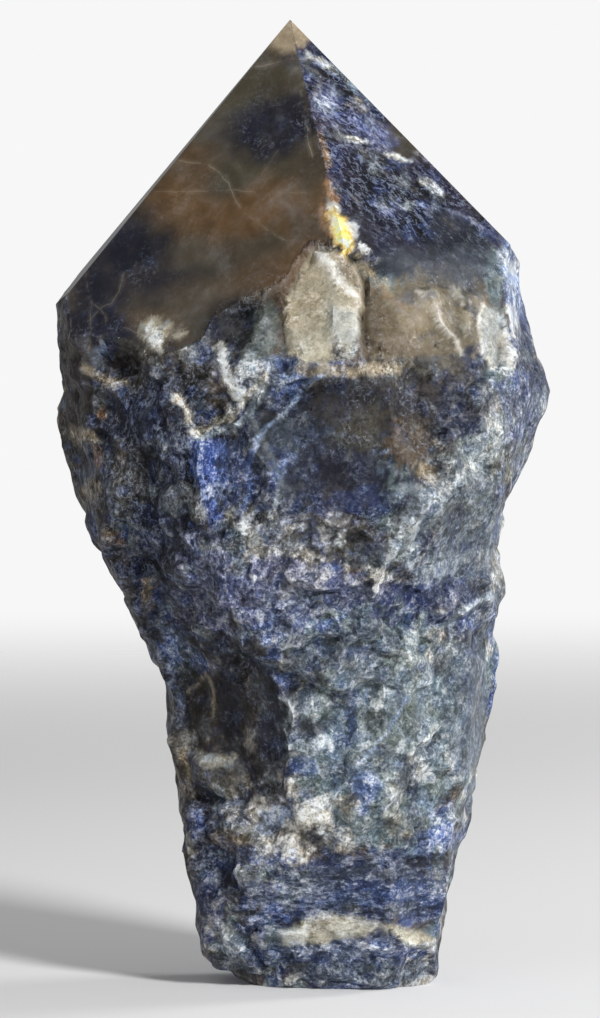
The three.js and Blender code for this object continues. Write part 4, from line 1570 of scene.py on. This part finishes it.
def grain_colour(nodes, grain, tint, grains, polish):
    """The tint, darker and lighter from grain to grain, with white seams and specks, painted shade in
    hollows and painted highlight on edges.
    """
    # Pale crystal rims, partly the crystals' own edges and partly painted highlight on the lumps' edges.
    rims = nodes.times(nodes.maths("SUBTRACT", grain.rims, RIM_MIDDLE), nodes.value("rimmed"))
    holes = nodes.times(nodes.ramp(grain.small[2], *HOLES), grain.lace)
    bright = nodes.total(
        nodes.swung(grain.clouds, CLOUD_LIGHT),
        nodes.swung(grain.specks, SPECK_LIGHT),
        nodes.swung(grain.dust, DUST_LIGHT),
        nodes.swung(grain.large[0], LARGE_LIGHT),
        nodes.swung(grain.small[0], SMALL_LIGHT),
        nodes.times(rims, RIM_LIGHT),
        nodes.times(grain.lace, LACE_LIGHT),
        nodes.times(holes, HOLE_LIGHT),
    )
    # Painted shade in the hollows and painted highlight on the edges that stand out.
    bright = nodes.total(
        nodes.times(bright, grains),
        nodes.times(nodes.value("hollow"), -HOLLOW_SHADE),
        nodes.times(nodes.swung(grain.haze, polish), HAZE_LIGHT),
    )
    cool = nodes.swung(grain.large[1], grains)
    hue = nodes.mix(nodes.maths("ADD", cool, 0.5, clamp=True), WARM_GRAIN, COOL_GRAIN)
    tint = nodes.vectors("MULTIPLY", tint, hue)
    colour = nodes.scaled(tint, nodes.maths("POWER", 2.0, nodes.times(bright, CONTRAST)))
    kept = nodes.maths("MULTIPLY_ADD", nodes.ramp(bright, *PALE_FROM), -PALENESS, 1.0)
    colour = nodes.node("HueSaturation", {"Saturation": kept, "Color": colour}).outputs[0]
    colour = nodes.vectors("MINIMUM", colour, BRIGHTEST)
    patches = nodes.ramp(grain.patches, *FROST_PATCHES)
    scattered = nodes.times(patches, nodes.ramp(grain.specks, *FROST_SPECKS))
    grainy = nodes.maths("MINIMUM", nodes.times(grains, 2.0), 1.0)
    frost = nodes.maths("MAXIMUM", nodes.times(scattered, grainy), nodes.times(grain.web, grains))
    frosted = nodes.vectors("ADD", nodes.scaled(tint, FROST_TINT), FROST)
    least, more = FROST_SEEN
    share = nodes.times(frost, nodes.maths("MULTIPLY_ADD", grain.lace, more, least))
    return nodes.mix(share, colour, frosted)


def crack_share(nodes, grain):
    """How much of a thin crack, the painted highlight along the ridge among them, shows at each place, 0
    to 1.
    """
    sway = nodes.swung(nodes.noise(grain.place, **NOISES["crack's sway"]), CRACK_BEND)
    kept = nodes.ramp(nodes.noise(grain.place, **NOISES["crack's gaps"]), *CRACK_GAPS)
    wider, faint = CRACK_HALO
    aways, strengths = (nodes.split(nodes.colour(name)) for name in ("crack_away", "crack_strength"))
    shares = []
    for away, strength in zip(aways, strengths):
        gap = nodes.maths("ABSOLUTE", nodes.maths("ADD", away, sway))
        line = nodes.ramp(gap, CRACK_HALF_WIDTH, 0.0)
        halo = nodes.times(nodes.ramp(gap, wider * CRACK_HALF_WIDTH, 0.0), faint)
        share = nodes.times(nodes.maths("MAXIMUM", line, halo), kept)
        shares.append(nodes.times(share, strength))
    return nodes.maths("MAXIMUM", nodes.maths("MAXIMUM", *shares[:2]), shares[2])


def grain_normal(nodes, grain, rough):
    """The surface's direction, with every crystal tipped its own way and a rough skin."""
    tipped = nodes.node("NewGeometry").outputs["Normal"]
    for cells, tip in ((grain.large_colour, LARGE_TIP), (grain.small_colour, SMALL_TIP)):
        own_way = nodes.scaled(nodes.direction(cells), nodes.times(rough, tip))
        tipped = nodes.vectors("ADD", tipped, own_way)
    tipped = nodes.node("VectorMath", {0: tipped}, operation="NORMALIZE").outputs[0]
    height = nodes.times(nodes.maths("MULTIPLY_ADD", grain.specks, SPECK_HEIGHT, grain.clouds), rough)
    bump = {"Strength": 1.0, "Distance": BUMP_HEIGHT * MM, "Height": height, "Normal": tipped}
    return nodes.node("Bump", bump).outputs[0]


def stone_finish():
    nodes = Finish("sodalite")
    grain = Grain(nodes)
    tint, polish, grains = nodes.colour("tint"), nodes.value("polish"), nodes.value("grains")
    colour = grain_colour(nodes, grain, tint, grains, polish)
    crack = nodes.mix(CRACK_MIX, tint, CRACK_COLOUR)
    colour = nodes.mix(crack_share(nodes, grain), colour, crack)

    unpolished = nodes.maths("SUBTRACT", 1.0, polish)
    rough = nodes.times(unpolished, nodes.maths("MULTIPLY_ADD", grains, 1 - SMOOTHEST, SMOOTHEST))
    least, more = ROUGH_SPREAD
    rough_spread = nodes.maths("MULTIPLY_ADD", grain.small[2], more, least)
    least, more = POLISHED_SPREAD
    polished_spread = nodes.maths("MULTIPLY_ADD", grain.haze, more, least)
    shader = nodes.node("BsdfPrincipled", {
        "Base Color": colour,
        "Roughness": nodes.blend(polish, rough_spread, polished_spread),
        "IOR": IOR,
        "Specular IOR Level": nodes.blend(polish, ROUGH_GLOSS, POLISHED_GLOSS),
        "Normal": grain_normal(nodes, grain, rough),
    })
    nodes.surface(shader)
    return nodes.material


# ---- The setting ----

FLOOR_RADIUS = 3.0
FLOOR_SIDES = 48
FLOOR_COLOUR = (0.82, 0.82, 0.82, 1)
FLOOR_FADE = (0.35, 1.2)  # from where to where the floor melts into the background
SENSOR = 36.0  # how large the camera's sensor is the long way, in millimetres
CAMERA_REACH = 100
SKY_LIGHT = 0.27  # how strongly the sky lights the stone
SKY_SEEN = 0.93  # how bright it looks to the camera
# Where the lamps are, how wide and how strong.
LAMPS = {
    "key": ((0.75, -0.95, 0.75), 0.3, 19.0),
    "rim": ((0.75, 0.35, 0.35), 0.3, 3.5),
    "fill": ((-0.7, -0.8, 0.25), 0.6, 1.2),
}


def camera():
    data = bpy.data.cameras.new("camera")
    data.sensor_width = SENSOR
    data.lens = SENSOR * VIEW_DISTANCE / VIEW_HEIGHT
    data.clip_end = CAMERA_REACH
    made = bpy.data.objects.new("camera", data)
    rise = math.radians(VIEW_RISE)
    back = Vector((0, -math.cos(rise), math.sin(rise)))
    made.location = VIEW_MIDDLE + back * VIEW_DISTANCE
    made.rotation_euler = back.to_track_quat("Z", "Y").to_euler()
    bpy.context.collection.objects.link(made)
    bpy.context.scene.camera = made


def softbox(name, place, size, power):
    data = bpy.data.lights.new(name, "AREA")
    data.shape = "DISK"
    data.size = size
    data.energy = power
    made = bpy.data.objects.new(name, data)
    made.location = place
    towards = VIEW_MIDDLE - Vector(place)
    made.rotation_euler = towards.to_track_quat("-Z", "Y").to_euler()
    made.visible_camera = False
    bpy.context.collection.objects.link(made)


def world():
    """An even pale sky that lights the stone less than it looks."""
    made = bpy.data.worlds.new("studio")
    made.use_nodes = True
    tree = made.node_tree
    lit = tree.nodes["Background"]
    lit.inputs["Strength"].default_value = SKY_LIGHT
    seen = tree.nodes.new("ShaderNodeBackground")
    seen.inputs["Strength"].default_value = SKY_SEEN
    for background in (lit, seen):
        background.inputs["Color"].default_value = (1, 1, 1, 1)
    choice = tree.nodes.new("ShaderNodeMixShader")
    path = tree.nodes.new("ShaderNodeLightPath")
    tree.links.new(path.outputs["Is Camera Ray"], choice.inputs[0])
    tree.links.new(lit.outputs[0], choice.inputs[1])
    tree.links.new(seen.outputs[0], choice.inputs[2])
    tree.links.new(choice.outputs[0], tree.nodes["World Output"].inputs["Surface"])
    bpy.context.scene.world = made


def floor_finish():
    """A pale matt floor that melts into the background."""
    nodes = Finish("floor")
    place = nodes.node("TexCoord").outputs["Object"]
    away = nodes.node("VectorMath", {0: place}, operation="LENGTH").outputs["Value"]
    paper = nodes.node("BsdfDiffuse", {"Color": FLOOR_COLOUR}).outputs[0]
    nothing = nodes.node("BsdfTransparent").outputs[0]
    mixed = nodes.node("MixShader", {0: nodes.ramp(away, *FLOOR_FADE), 1: paper, 2: nothing})
    nodes.surface(mixed)
    return nodes.material


def floor():
    mesh = bpy.data.meshes.new("floor")
    corners = [
        (FLOOR_RADIUS * math.cos(turn), FLOOR_RADIUS * math.sin(turn), 0)
        for turn in np.linspace(0, 2 * math.pi, FLOOR_SIDES, endpoint=False)
    ]
    mesh.from_pydata(corners, [], [tuple(range(len(corners)))])
    mesh.materials.append(floor_finish())
    made = bpy.data.objects.new("floor", mesh)
    bpy.context.collection.objects.link(made)


def stone():
    made = bpy.data.objects.new("stone_surface", stone_mesh())
    made.data.materials.clear()
    made.data.materials.append(stone_finish())
    bpy.context.collection.objects.link(made)
    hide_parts("stone")
    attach(made, "root")


bpy.context.scene.view_settings.view_transform = "Standard"
camera()
world()
for name, (place, size, power) in LAMPS.items():
    softbox(name, place, size, power)
floor()
stone()
